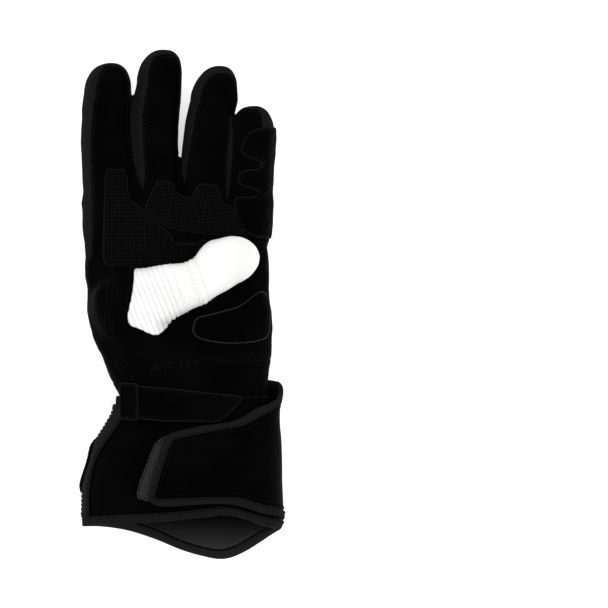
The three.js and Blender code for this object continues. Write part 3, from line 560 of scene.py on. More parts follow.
class Shader:
    """A material's nodes, made one after another."""

    def __init__(self, name, roughness, specular, sheen=0.0):
        self.material = bpy.data.materials.new(name)
        self.material.use_nodes = True
        self.finish = (self.material, SLOTS.get(name, name))
        self.tree = self.material.node_tree
        self.body = self.tree.nodes["Principled BSDF"]
        self.body.inputs["Roughness"].default_value = roughness
        self.body.inputs["Specular IOR Level"].default_value = specular
        if sheen:
            self.body.inputs["Sheen Weight"].default_value = sheen
            self.body.inputs["Sheen Roughness"].default_value = 0.6
        self.place = self.node("ShaderNodeTexCoord").outputs["Object"]
        self.height = None

    def node(self, kind, inputs=(), **settings):
        node = self.tree.nodes.new(kind)
        for key, value in settings.items():
            setattr(node, key, value)
        for key, value in dict(inputs).items():
            socket = node.inputs[key]
            if isinstance(value, bpy.types.NodeSocket):
                self.tree.links.new(value, socket)
            else:
                socket.default_value = value
        return node

    def math(self, kind, a, b=0.0):
        return self.node("ShaderNodeMath", {0: a, 1: b}, operation=kind).outputs[0]

    def noise(self, scale, detail=3.0, place=None):
        inputs = {"Vector": place or self.place, "Scale": scale, "Detail": detail}
        return self.node("ShaderNodeTexNoise", inputs).outputs["Fac"]

    def cells(self, scale, place=None, feature="F1"):
        inputs = {"Vector": place or self.place, "Scale": scale}
        return self.node("ShaderNodeTexVoronoi", inputs, feature=feature).outputs["Distance"]

    def ramp(self, factor, low, high, start=0.3, end=0.7):
        node = self.node("ShaderNodeValToRGB", {0: factor})
        for stop, at, colour in zip(node.color_ramp.elements, (start, end), (low, high)):
            stop.position = at
            stop.color = (*colour, 1)
        return node.outputs[0]

    def mix(self, factor, a, b):
        a, b = (v if isinstance(v, bpy.types.NodeSocket) else (*v, 1) for v in (a, b))
        return self.node("ShaderNodeMix", {0: factor, 6: a, 7: b}, data_type="RGBA").outputs[2]

    def spread(self, value, start, end, low, high):
        """A value's range from start to end taken to the one from low to high."""
        return self.node("ShaderNodeMapRange", {0: value, 1: start, 2: end, 3: low, 4: high}).outputs[0]

    def attribute(self, name):
        return self.node("ShaderNodeAttribute", attribute_name=name).outputs["Fac"]

    def flat(self):
        return self.node("ShaderNodeUVMap", uv_map="flat").outputs[0]

    def part(self, place, axis):
        return self.node("ShaderNodeSeparateXYZ", {0: place}).outputs[axis]

    def colour(self, value):
        self.tree.links.new(value, self.body.inputs["Base Color"])

    def rough(self, factor, low, high):
        self.tree.links.new(self.spread(factor, 0.0, 1.0, low, high), self.body.inputs["Roughness"])

    def bump(self, height, depth, strength=1.0):
        """Relief of that depth in millimetres, on top of any made before."""
        inputs = {"Height": height, "Distance": depth * MM, "Strength": strength}
        if self.height is not None:
            inputs["Normal"] = self.height
        self.height = self.node("ShaderNodeBump", inputs).outputs["Normal"]
        self.tree.links.new(self.height, self.body.inputs["Normal"])

    def ribs(self, pitch, axis, place):
        """Round ribs square to an axis, two in each pitch."""
        turn = self.math("MULTIPLY", self.part(place, axis), 2 * math.pi / (pitch * MM))
        return self.math("ABSOLUTE", self.math("SINE", turn))


def grey(value):
    return (value, value, value * 1.02)


def leather(name, dark, light, roughness, specular, grain=0.05, edge_highlight=None, crease_shade=None):
    """Grained leather, with a painted highlight along its sewn edges, broken up into patches by noise, or
    painted shade in its creases.
    """
    s = Shader(name, roughness, specular)
    patches = s.noise(38.0, 4.0)
    tone = s.ramp(patches, dark, light, 0.35, 0.7)
    if edge_highlight is not None:
        # Painted highlight: near its sewn edges the leather's colour is mixed, in noisy patches, towards the
        # lighter edge tone.
        highlight_breakup = s.ramp(s.noise(420.0, 5.0), (0, 0, 0), (1, 1, 1), 0.45, 0.75)
        near_edge = s.spread(s.attribute("edge"), 0.2, 1.6, 1.0, 0.0)
        tone = s.mix(s.math("MULTIPLY", highlight_breakup, near_edge), tone, edge_highlight)
    # Painted shade: the leather is darkened towards the crease tone in the rib valleys that the fold
    # attribute marks.
    if crease_shade is not None:
        tone = s.mix(s.spread(s.attribute("fold"), 0.35, 0.95, 0.0, 1.0), tone, crease_shade)
    s.colour(tone)
    pores = s.cells(900.0)
    wrinkles = s.cells(260.0, feature="DISTANCE_TO_EDGE")
    s.rough(s.noise(300.0, 4.0), roughness - 0.08, roughness + 0.1)
    s.bump(pores, grain)
    s.bump(s.math("MINIMUM", wrinkles, 0.12), grain * 8)
    s.bump(s.noise(90.0, 3.0), 0.25)
    return s.finish


def knit(name, dark, light, pitch):
    s = Shader(name, 0.95, 0.02)
    loops = s.math("ADD", s.math("MULTIPLY", s.ribs(pitch * 0.9, 0, s.place), 0.6), 0.4)
    relief = s.math("MULTIPLY", s.ribs(pitch, 1, s.place), loops)
    s.colour(s.mix(s.math("MULTIPLY", s.noise(160.0), relief), dark, light))
    s.bump(relief, 0.18)
    s.bump(s.noise(2500.0, 2.0), 0.06)
    return s.finish


def tape(name, dark, light, inner_painted_light, pitch):
    """Woven tape: ribs square to the edge, crossed by fine yarns, and a lighter inner face, which is painted
    light on faces that lie in shade.
    """
    s = Shader(name, 0.92, 0.02)
    flat = s.flat()
    relief = s.math("MAXIMUM", s.ribs(pitch, 0, flat), s.math("MULTIPLY", s.ribs(pitch * 0.6, 1, flat), 0.7))
    outer = s.mix(s.math("MULTIPLY", relief, s.noise(500.0)), dark, light)
    # Painted light: the inner face is mixed towards the lighter tone.
    s.colour(s.mix(s.attribute("inside"), outer, inner_painted_light))
    s.bump(relief, 0.14)
    return s.finish


def hooks(name, dark, light):
    s = Shader(name, 0.9, 0.1)
    dots = s.cells(1100.0)
    s.colour(s.ramp(dots, light, dark, 0.15, 0.6))
    s.bump(dots, 0.5)
    s.bump(s.noise(1800.0), 0.2)
    return s.finish


def relief_rubber(name, dark, light, turned):
    """Squares with raised lines between them, turned by that many degrees."""
    s = Shader(name, 0.8, 0.025)
    place = s.node("ShaderNodeVectorRotate", {"Vector": s.place, "Angle": -math.radians(turned)}).outputs[0]
    lines = []
    for axis in (0, 1):
        beat = s.math("MULTIPLY", s.part(place, axis), 1 / (GRIP_PITCH * MM))
        lines.append(s.math("ABSOLUTE", s.math("SUBTRACT", beat, s.math("ROUND", beat))))
    ridge = s.spread(s.math("MINIMUM", *lines), 0.08, 0.20, 1.0, 0.0)
    s.colour(s.mix(s.math("MULTIPLY", ridge, s.ramp(s.noise(240.0), (0.5,) * 3, (1,) * 3)), dark, light))
    s.bump(ridge, 0.2)
    s.bump(s.noise(1500.0, 3.0), 0.08)
    return s.finish


def cloth(name, dark, light, pitch):
    """Woven cloth with painted shade: its colour grows dark from the cuff's rim inwards."""
    s = Shader(name, 0.95, 0.02, sheen=0.02)
    flat = s.flat()
    relief = s.math("MULTIPLY", s.ribs(pitch, 0, flat), s.ribs(pitch, 1, flat))
    tone = s.mix(s.math("MULTIPLY", relief, s.noise(90.0)), dark, light)
    # Painted shade: the colour is darkened towards grey(0.002) deeper inside the cuff, away from its rim.
    depth = s.spread(s.part(flat, 1), -0.148, -0.129, 0.0, 0.97)
    s.colour(s.mix(depth, tone, grey(0.002)))
    s.bump(relief, 0.15)
    s.bump(s.noise(60.0), 0.6)
    return s.finish


def thread(name, value):
    s = Shader(name, 0.8, 0.05)
    s.colour(s.ramp(s.noise(1200.0), grey(value * 0.7), grey(value * 1.2)))
    s.bump(s.noise(2400.0), 0.05)
    return s.finish


# The black leathers' lighter edge tone, grey(0.006), is a painted highlight along their sewn edges.
BLACK = leather("black_leather", grey(0.0005), grey(0.0015), 0.6, 0.008, edge_highlight=grey(0.006))
PAD = leather("pad_leather", grey(0.0005), grey(0.0013), 0.58, 0.008, edge_highlight=grey(0.006))
# The white leather's darker crease tone, grey(0.64), is painted shade in the thumb's rib valleys.
WHITE = leather("white_leather", (0.80, 0.80, 0.79), (0.87, 0.87, 0.86), 0.5, 0.3, 0.03, crease_shade=grey(0.64))
WALL = knit("grey_stretch", grey(0.0068), grey(0.0124), 1.3)
PATCHES = relief_rubber("grip_patch", grey(0.0007), grey(0.0048), 0)
PATCHES_TURNED = relief_rubber("grip_patch_turned", grey(0.0007), grey(0.0048), GRIP_TURN)
# The tape's lighter inner tone, grey(0.018), is painted light on its inner faces, which lie in shade.
TAPE = tape("binding_tape", grey(0.0068), grey(0.0124), grey(0.018), 1.1)
HOOK = hooks("hook_tape", grey(0.018), grey(0.036))
# The lining's darkening deeper inside the cuff is painted shade.
LINING = cloth("lining_cloth", grey(0.034), grey(0.06), 1.6)
THREAD = thread("black_thread", 0.0046)
CUFF_THREAD = thread("cuff_thread", 0.003)
EDGE_PAINT = thread("edge_cord", 0.007)
PAD_CORD = thread("pad_cord", 0.024)
WHITE_THREAD = thread("white_thread", 0.78)

# Hand, on one grid
hand = Grid((-64, -68, -3), (64, 158, 52), HAND_STEP)
palm_seam = hand_middle(hand.y)
softness = creases(*hand.at, 0.16, 26, 3) + creases(*hand.at, 0.06, 9, 5)
finger_fields = {n: finger_form(f, *hand.at) for n, f in FINGERS.items()}
fingers_field = np.minimum.reduce(list(finger_fields.values()))
for one, other, top, reach in JOINS:
    joined = smin(finger_fields[one], finger_fields[other], reach)
    fingers_field = np.minimum(fingers_field, smax(joined, hand.y - top, 3))
hand_field = smin(hand_form(*hand.at), fingers_field, 3) + softness
thumb_field = smin(thumb_form(*hand.at), mound_form(*hand.at), 6) + softness
root_field = outline_field(hand.x, hand.y, smooth_line(THUMB_ROOT, 2, True))
black_field = smin(hand_field, smax(thumb_field, -root_field + SEAM, 0.5), 3.5)
hand_field, black_field = hand.distance(hand_field), hand.distance(black_field)
hollow = np.minimum(hand.distance(smin(hand_field, thumb_field, 3)), hand.distance(thumb_field)) + LEATHER
shell = smax(np.maximum(black_field, -hand.z), -hollow, 0.4)


def finger_back(f, x, y, z):
    """Negative on a finger's back and a little way under its side wall."""
    _, up, _, _ = finger_frame(f, x, y, z)
    past_wall = np.maximum(-side_wall(f, x, y, z), up)
    return np.maximum(past_wall, np.maximum(finger_form(f, x, y, z) - SKIN_DEPTH, BACK_START - y)) - UNDER


finger_backs = np.minimum.reduce([finger_back(f, *hand.at) for f in FINGERS.values()])
above_strip = np.where(hand.x < STRIP_FROM, read(SIDE_STRIP, "top", hand.y) - UNDER, palm_seam)
front = np.maximum(np.minimum(palm_seam, above_strip) - hand.z, -finger_backs)
wrist = outline_field(hand.x, hand.y, WRIST)
lower = outline_field(hand.x, hand.y, smooth_line(LOWER_PALM, 3, True))
strip_edges = np.maximum(read(SIDE_STRIP, "low", hand.y) - hand.z, hand.z - read(SIDE_STRIP, "top", hand.y))
strip_area = np.maximum(outline_field(hand.x, hand.y, INDEX_SIDE), hand.y - SIDE_JOIN)
side_strip = np.maximum(strip_area, strip_edges)
outside_hand = 0.6 - hand_form(*hand.at)
outside_hand = np.minimum(outside_hand, np.maximum(hand.x + 50, SIDE_JOIN - hand.y))
walls = np.minimum.reduce([
    np.maximum(side_wall(f, *hand.at), finger_form(f, *hand.at) - SKIN_DEPTH) for f in FINGERS.values()
])
wall_zone = smax(walls, outside_hand, 0.8)
behind_palm = palm_seam - 2 - hand.z
for outline in WEBS:
    wall_zone = smax(wall_zone, -np.maximum(outline_field(hand.x, hand.y, outline), behind_palm), 0.6)
gusset = np.maximum(outline_field(hand.x, hand.y, smooth_line(GUSSET, 2, True)), behind_palm)
wall_zone = np.minimum(wall_zone, gusset)
edge_round = np.where((np.abs(hand.y - SIDE_JOIN) < 3) & (hand.x < -48), 0.5, 1.8)


def hand_piece(name, *zones, finish=BLACK):
    """The part of the hand's leather that lies in all the zones."""
    zone = reduce(np.maximum, zones)
    field = smax(shell, (zone + SEAM).astype(np.float32), edge_round)
    points, faces = without_crumbs(*skin(field, hand))
    points = settle(field, hand, points)
    make_piece(name, points, faces, finish, [name], edge=-sample(zone, hand, points))


off_wall, off_wrist, off_strip = -wall_zone, -wrist, -side_strip
hand_piece("palm_panel", front, off_wall, off_wrist, -lower, off_strip)
hand_piece("lower_palm", front, off_wrist, lower, off_strip, off_wall)
hand_piece("hand_side_wall", side_strip, off_wall, WRIST_END - hand.y, finish=WALL)
hand_piece("back_panel", -front, off_wall, off_wrist, off_strip)
hand_piece("wrist_sleeve", wrist, WRIST_END - hand.y, off_strip)
for name in FINGERS:
    apart = np.maximum.reduce([finger_fields[name] - o for n, o in finger_fields.items() if n != name])
    hand_piece(name + "_side_wall", wall_zone, apart * 0.5, finish=WALL)

# Thumb
thumb = Grid((-46, -46, 18), (74, 54, 66), THUMB_STEP)
along, across = thumb_frame(thumb.x, thumb.y)
wrinkles = creases(*thumb.at, 0.14, 18, 8) + creases(*thumb.at, 0.05, 7, 9)
plain = smin(thumb_form(*thumb.at), mound_form(*thumb.at), 4)
valley = ridges(along - RIB["end"] + RIB["lean"] * (across - 8), RIB["pitch"], RIB["valley"])
valley = valley * (along < RIB["end"] + 1)
shallow = np.clip((26 - across) / 10, 0.25, 1) * np.clip((RIB["end"] + 0.6 - along) / 1.2, 0, 1)
ribbed = plain + RIB["depth"] * valley * shallow
raised = np.exp(-(((along - (BAND_END + PIPING_END) / 2) / 1.25) ** 4))
thumb_surface = thumb.distance(ribbed + wrinkles - 0.45 * raised)
palm_under = resample(hand_field, hand, thumb)
clear_of_palm = np.maximum(-np.minimum(palm_under, plain) - LEATHER, 0.3 - palm_under)
root = outline_field(thumb.x, thumb.y, smooth_line(THUMB_ROOT, 2, True)) + 0.25
white_thumb = smax(smax(thumb_surface, clear_of_palm, 0.5), root, 1.0).astype(np.float32)
thumb_ends = (-99, RIB["end"], BAND_END, PIPING_END, 99)
thumb_names = ("thumb_ribs", "thumb_band", "thumb_piping", "thumb_tip")
for name, start, end in zip(thumb_names, thumb_ends, thumb_ends[1:]):
    ends = np.maximum(start + SEAM - along, along - end + SEAM)
    points, faces = skin(smax(white_thumb, ends, 0.9).astype(np.float32), thumb)
    points = settle(white_thumb, thumb, points, 0)
    # fold marks the rib valleys, where the white leather gets painted shade.
    fold = sample(valley, thumb, points)
    make_piece(name, points, faces, WHITE, [name], edge=-sample(ends, thumb, points), fold=fold)


# Sewn-on pieces of the palm
def sewn(name, outline, height, step, finish, crown=0.0, texture=None):
    """A piece that lies on the palm inside an outline, thicker in its middle by crown."""
    line = smooth_line(outline, 1.0, True)
    (x0, y0), (x1, y1) = line.min(axis=0) - 2, line.max(axis=0) + 2
    fine = Grid((x0, y0, 12), (min(x1, 63), y1, 46), (step, step, 0.5))
    under = resample(black_field, hand, fine)
    edge = outline_field(fine.x, fine.y, line)
    thick = height + crown * (1 - np.exp(np.minimum(edge, 0) / 5))
    if texture is not None:
        thick = thick + texture(fine.x, fine.y) * np.clip(-edge - 1.6, 0, 1)
    field = smax(smax(under - thick, 0.12 - under, 0.3), edge, 1.1)
    field = smax(field, hand_middle(fine.y) + 1.5 - fine.z, 0.8)
    thumb_near = resample(white_thumb, thumb, fine)
    covered = (fine.z > thumb.axes[2][0]) & (fine.x < thumb.axes[0][-1]) & (fine.y < thumb.axes[1][-1])
    field = np.where(covered, smax(field, 0.35 - thumb_near, 0.4), field).astype(np.float32)
    points, faces = skin(field, fine)
    return make_piece(name, points, faces, finish, [name], edge=-sample(edge, fine, points))


def squares(x, y):
    """Relief of raised lines round small squares."""
    lines = np.maximum(ridges(x, GRIP_PITCH, GRIP_LINE), ridges(y, GRIP_PITCH, GRIP_LINE))
    return GRIP_HEIGHT * lines - GRIP_SINK


def turned_squares(x, y):
    c, s = math.cos(math.radians(GRIP_TURN)), math.sin(math.radians(GRIP_TURN))
    return squares(x * c + y * s, y * c - x * s)


sewn("index_patch", INDEX_PATCH, PATCH, 0.45, PATCHES, texture=squares)
sewn("finger_patch", FINGER_PATCH, PATCH, 0.45, PATCHES_TURNED, texture=turned_squares)
sewn("little_guard", GUARD, 1.4, 0.58, PAD, crown=0.3)
sewn("heel_pad", HEEL, 1.6, 0.58, PAD, crown=1.5)


# Cuff, laid out flat: u round the cuff from the little finger's side, v along the hand, w outwards
GIRTH = 310.0
RIM_SECTION = -130.0  # the cuff's section at this y gives the rim's x
TURN_STEPS = np.linspace(0, 1, 4001)
MEAN_HALF, MEAN_TALL = 56, 31
corner = signed_power(np.cos(2 * np.pi * TURN_STEPS), 2 / SECTION_POWER)
crown = signed_power(np.sin(2 * np.pi * TURN_STEPS), 2 / SECTION_POWER)
section_run = run_along(np.column_stack([MEAN_HALF * corner, MEAN_TALL * crown]))
section_run *= GIRTH / section_run[-1]


def round_cuff(turn):
    """Distance u round the cuff at a share of a turn."""
    whole = np.floor(turn)
    return np.interp(turn - whole, TURN_STEPS, section_run) + whole * GIRTH


def bend(tab, flat):
    """Flat places u, v, w taken to the cuff."""
    u, v, w = flat.T
    turn = np.interp(u % GIRTH, section_run, TURN_STEPS)
    a, b = np.interp(turn, TURN_STEPS, corner), np.interp(turn, TURN_STEPS, crown)
    half, tall = read(tab, "half", v), (read(tab, "top", v) - read(tab, "low", v)) / 2
    x = read(tab, "x", v) + a * (half + w)
    z = read(tab, "low", v) + tall + b * (tall + w)
    return np.stack([x, v, np.maximum(z, 0.0)], axis=1)


def lay(tab, points, height=0.0):
    """Points seen from the palm side, x and y, laid out flat; height is theirs above the cuff's form."""
    x, y = np.asarray(points, float).T
    share = np.clip((x - read(tab, "x", y)) / (read(tab, "half", y) + height), -1, 1)
    turn = np.arccos(signed_power(share, SECTION_POWER / 2)) / (2 * np.pi)
    return np.stack([round_cuff(turn), y], axis=1)


def rim_y(u):
    """Where the cuff ends along the hand, at a distance round it."""
    turn = np.interp(u % GIRTH, section_run, TURN_STEPS)
    x = read(CUFF, "x", RIM_SECTION) + read(CUFF, "half", RIM_SECTION) * np.interp(turn, TURN_STEPS, corner)
    return np.where(turn < 0.5, read(RIM, "front", x), read(RIM, "back", x))


def cuff_piece(name, tab, low, high, inner, outer, edge, rounding, finish, step,
               closed=False, shift=None, crown=0.0):
    """A piece between inner and outer from the cuff's form. edge(u, v) is negative inside its outline."""
    if closed:
        step = (GIRTH / round(GIRTH / step[0]), *step[1:])
        high = (GIRTH - step[0] * 1.5, high[1])
    grid = Grid((*low, inner - 1.5), (*high, outer + crown + 1.5), step)
    border = edge(grid.x, grid.y)
    lift = crown * (1 - np.exp(np.minimum(border, 0) / 4))
    w = grid.z - (shift(grid.x, grid.y) if shift else 0)
    field = smax(np.maximum(inner - w, w - outer - lift), border, rounding).astype(np.float32)
    flat, faces = skin(field, grid, closed)
    # How much a point lies on the inner face, which the tape makes lighter as painted light.
    inside = np.clip((inner + 0.8 - flat[:, 2]) / 0.5, 0, 1)
    return make_piece(name, bend(tab, flat), faces, finish, [name],
                      flat=flat[:, :2], edge=-sample(border, grid, flat), inside=inside)


def waves(u, v):
    """Gentle waves of the cuff's leather, which fade towards its rim and its top."""
    k = 2 * np.pi / GIRTH
    soft = np.sin(9 * k * u + 0.11 * v) * np.sin(0.09 * v + 1.1) + 0.5 * np.sin(17 * k * u - 0.16 * v + 2)
    return 0.35 * soft * np.clip((v + 150) / 12, 0, 1) * np.clip((-60 - v) / 8, 0, 1) * 0.6


def rim_edge(u):
    return rim_y(u) + BINDING


HEM = 1.6  # how far a panel reaches into the tape round its edge
cuff_piece("cuff_panel", CUFF, (0, -152), (GIRTH, CUFF_TOP + 2), -CUFF_WALL, 0,
           lambda u, v: np.maximum(v - CUFF_TOP, rim_edge(u) - HEM - v), 1.0,
           BLACK, (1.25, 1.1, 0.6), closed=True, shift=waves)
cuff_piece("rim_binding", CUFF, (0, -157), (GIRTH, -119), -CUFF_WALL - 1.5, 0.7,
           lambda u, v: np.maximum(v - rim_edge(u), rim_y(u) - v), 1.3,
           TAPE, (1.1, 0.55, 0.45), closed=True)
cuff_piece("cuff_lining", CUFF, (0, -152), (GIRTH, -86), -CUFF_WALL - 1.4, -CUFF_WALL - 0.1,
           lambda u, v: np.maximum(v - (rim_edge(u) + CUFF_TOP) / 2, rim_edge(u) + 0.4 - v), 0.6,
           LINING, (1.4, 1.3, 0.45), closed=True, shift=waves)

# Bands seen from the palm side: x, and the two y of their edges there
STRAP = [
    (36.7, -56, -57.5), (31.4, -54.9, -63.2), (22.8, -54.1, -70.6), (-10.7, -50.6, -70.2),
    (-37.2, -48.3, -67.8),
]
KEEPER = [(-26.7, -48, -69.8), (-37.4, -47.4, -68.8)]
STRAP_BED, STRAP_THICK = 1.5, 2.2


def band_outline(rows, height):
    """A band's outline laid flat, at a height on the cuff."""
    corners = [(x, y) for x, y, _ in rows] + [(x, y) for x, _, y in rows[::-1]]
    edge = even_line(np.array(corners + corners[:1], float), 1.0)[:-1]
    return rounded(lay(CUFF, edge, height))


def flat_piece(name, tab, outline, inner, outer, rounding, finish, step, hole=None, grow=0.0, **more):
    """A piece cut flat to an outline, grown by that many millimetres, and bent to the cuff."""
    def edge(u, v):
        inside = outline_field(u, v, outline) - grow
        return inside if hole is None else np.maximum(inside, -outline_field(u, v, hole))

    low, high = outline.min(axis=0) - 2 - grow, outline.max(axis=0) + 2 + grow
    return cuff_piece(name, tab, low, high, inner, outer, edge, rounding, finish, step, **more)


def closed_line(outline, step=0.8):
    return even_line(np.vstack([outline, outline[:1]]), step)


def rounded(outline):
    """An outline laid flat, with soft corners."""
    line = closed_line(outline)[:-1]
    for _ in range(3):
        line = (np.roll(line, 1, 0) + 2 * line + np.roll(line, -1, 0)) / 4
    return line


strap_top = STRAP_BED + STRAP_THICK
strap_line = band_outline(STRAP, strap_top)
keeper_line = band_outline(KEEPER, strap_top + 1.8)
flat_piece("wrist_strap", CUFF, strap_line, STRAP_BED, strap_top, 1.0, BLACK, (0.7, 0.6, 0.4), crown=0.3)
keeper_bed = strap_top + 0.3
flat_piece("strap_keeper", CUFF, keeper_line, keeper_bed, keeper_bed + 1.5, 0.9, BLACK, (0.6, 0.6, 0.4))

SIDE_BINDING = [
    (-33.4, -60.6), (-34.4, -67.5), (-41.9, -78.5), (-49.1, -89.7), (-52.9, -100), (-54.9, -114.6),
    (-54.9, -128.6),
]
side_far = round_cuff(0.51)
side_inner = lay(CUFF, smooth_line(SIDE_BINDING, 2))
side_line = rounded(np.vstack([side_inner, [(side_far, -128.6), (side_far, -59.5)]]))
flat_piece("side_binding", CUFF, side_line, 0.15, 1.35, 1.1, TAPE, (0.6, 0.7, 0.35))
pad_from, pad_to = round_cuff(0.514), round_cuff(0.63)
pad_line = rounded(np.array([
    (pad_from, -84), (pad_from + 5, -80), (pad_to - 5, -80), (pad_to, -85),
    (pad_to, -109), (pad_to - 5, -114), (pad_from + 5, -114), (pad_from, -110),
], float))
side_pad = flat_piece("side_pad", CUFF, pad_line, 0.3, 3.1, 1.6, PAD, (0.7, 0.7, 0.4), crown=1.9)

FLAP_OUTER = [
    (46.5, -62.1), (32.1, -69.9), (13.2, -72.9), (-3.9, -76.5), (-9.9, -80.1), (-15.5, -95.7),
    (-18.3, -104), (-20.3, -117), (-15.3, -120.9), (-8.1, -121.8), (27.3, -120.3), (50.7, -126.3),
]
FLAP_INNER = [
    (48.6, -67.6), (36.9, -73.6), (22.5, -76.2), (-2.7, -81.3), (-5.9, -84), (-11.7, -100.5),
    (-15.2, -114.3), (-12.9, -116.7), (30.3, -115.5), (49, -119.9),
]
FLAP_ROOT = [(0.0, -53, -129.6), (-0.05, -46.5, -130.2), (-0.12, -45, -129.6)]  # share of a turn, y, y
HOOK_STRIP = [
    (-3.3, -77.6), (-10.7, -79.6), (-15.5, -83.1), (-19.5, -92.7), (-26.5, -114.6),
    (-26.1, -117), (-20.3, -118.5), (-8, -118.5), (2, -84),
]


def flap_line(outline, trim):
    top = [(round_cuff(turn), y - trim) for turn, y, _ in FLAP_ROOT]
    bottom = [(round_cuff(turn), y + trim) for turn, _, y in FLAP_ROOT]
    top[-1] = (top[-1][0] + trim, top[-1][1])
    bottom[-1] = (bottom[-1][0] + trim, bottom[-1][1])
    middle = lay(FLAP, smooth_line(outline, 1.5))
    return rounded(np.vstack([top[::-1], middle, bottom]))


flap_outer, flap_inner = flap_line(FLAP_OUTER, 0), flap_line(FLAP_INNER, BINDING)
flat_piece("flap_binding", FLAP, flap_outer, -2.3, 0.5, 2.0, TAPE, (0.72, 0.72, 0.45), hole=flap_inner)
flat_piece("cuff_flap", FLAP, flap_inner, -2.0, -0.4, 1.2, BLACK, (1.0, 1.0, 0.5), crown=0.5, grow=HEM)
hook_line = rounded(lay(CUFF, HOOK_STRIP))
flat_piece("hook_strip", CUFF, hook_line, 0.15, 1.45, 0.8, HOOK, (0.6, 0.6, 0.35))


# Stitches and cords
SIDES = 6  # of a thread or cord, which the faces at its ends count on


def tubes(name, lines, radius, finish, taper=True):
    """Round threads along lines of points, given with the direction that faces out at each point."""
    points, faces, count = [], [], 0
    turn = np.arange(SIDES) * 2 * np.pi / SIDES
    for line, out in lines:
        ahead = unit(np.gradient(line, axis=0))
        side = unit(np.cross(ahead, out))
        up = np.cross(side, ahead)
        size = np.full(len(line), radius)
        if taper:
            size[[0, -1]] = radius * 0.45
        ring = side[:, None] * np.cos(turn)[None, :, None] + up[:, None] * np.sin(turn)[None, :, None]
        points.append((line[:, None] + ring * size[:, None, None]).reshape(-1, 3))
        last = (len(line) - 1) * SIDES
        k = np.arange(last).reshape(-1, SIDES)
        n = np.roll(k, -1, axis=1)
        faces.append(np.stack([k, n, n + SIDES, k + SIDES], axis=2).reshape(-1, 4) + count)
        caps = np.array([(0, 3, 2, 1), (0, 5, 4, 3), (last, last + 1, last + 2, last + 3),
                         (last, last + 3, last + 4, last + 5)])
        faces.append(caps + count)
        count += len(line) * SIDES
    make_piece(name, np.vstack(points), np.vstack(faces), finish)


def stitches(lines, length=1.7, gap=0.9):
    """Lines cut into stitches, each a short bowed thread."""
    bow = np.array([-0.12, 0.12, 0.18, 0.12, -0.12])[:, None]
    made = []
    for line, out in lines:
        run = run_along(line)
        for i in range(int(run[-1] // (length + gap))):
            at = i * (length + gap) + gap / 2 + length * np.linspace(0, 1, len(bow))
            p, o = (np.stack([np.interp(at, run, v[:, j]) for j in range(3)], axis=1) for v in (line, out))
            made.append((p + o * bow, o))
    return made


def stretches(keep, least):
    """Runs of neighbouring points to keep, of more than that many points."""
    runs = np.split(np.arange(len(keep)), np.flatnonzero(np.diff(keep.astype(int))) + 1)
    return [r for r in runs if keep[r[0]] and len(r) > least]


def on_surface(field, grid, points, lift=0.0):
    """Points moved to the surface, and the directions that face out there."""
    points = settle(field, grid, points, 5, reach=1.5)
    out = unit(slope(field, grid, points))
    return points + out * lift, out


def draped(line, lift, passes=40):
    """A line seen from above, laid on the palm side of the hand, its height smoothed in passes."""
    line = even_line(np.asarray(line, float), 0.5)
    cell = np.round((line - hand.low[:2]) / hand.step[:2]).astype(int)
    cell = np.clip(cell, 0, np.array(black_field.shape[:2]) - 1)
    columns = black_field[cell[:, 0], cell[:, 1]] < 0
    top = hand.low[2] + hand.step[2] * (columns.shape[1] - 1 - np.argmax(columns[:, ::-1], axis=1))
    found = columns.any(axis=1)
    line, top = line[found], top[found]
    for _ in range(passes):
        top[1:-1] = (top[:-2] + 2 * top[1:-1] + top[2:]) / 4
    return on_surface(black_field, hand, np.column_stack([line, top]), lift)


def finger_seam(f, hand_side, face, beyond, start, full=0.985):
    """A line along a finger, on the palm side or the back, beyond millimetres past its side wall's edge.

    Over the tip it runs up to that share of the full way.
    """
    rows = f["rows"]
    last = rows["y"][-1]
    past = np.sin(np.linspace(0, full, 30) * np.pi / 2)
    y = np.concatenate([np.arange(start, last, 0.8), last + past * f["tip"]])
    past = np.clip((y - last) / f["tip"], 0, 1)
    size = tip_size(past)
    half, thick = read(rows, "half", y), read(rows, "thick", y)
    wall = np.maximum(thick * size * f["wall"], f["over"]) + beyond
    level = np.clip(wall / thick, 0, None)
    keep = level < size * full
    room = np.clip(size**FINGER_POWER - level**FINGER_POWER, 0, None) ** (1 / FINGER_POWER)
    across, up = hand_side * room * half, face * wall
    roll = math.radians(f["roll"])
    c, s = math.cos(roll), math.sin(roll)
    x = read(rows, "x", y) + f["lean"] * past**2 + across * c + up * s
    z = read(rows, "z", y) + tip_climb(rows) * np.clip(y - last, 0, None) - across * s + up * c
    return np.stack([x, y, z], axis=1)[keep]


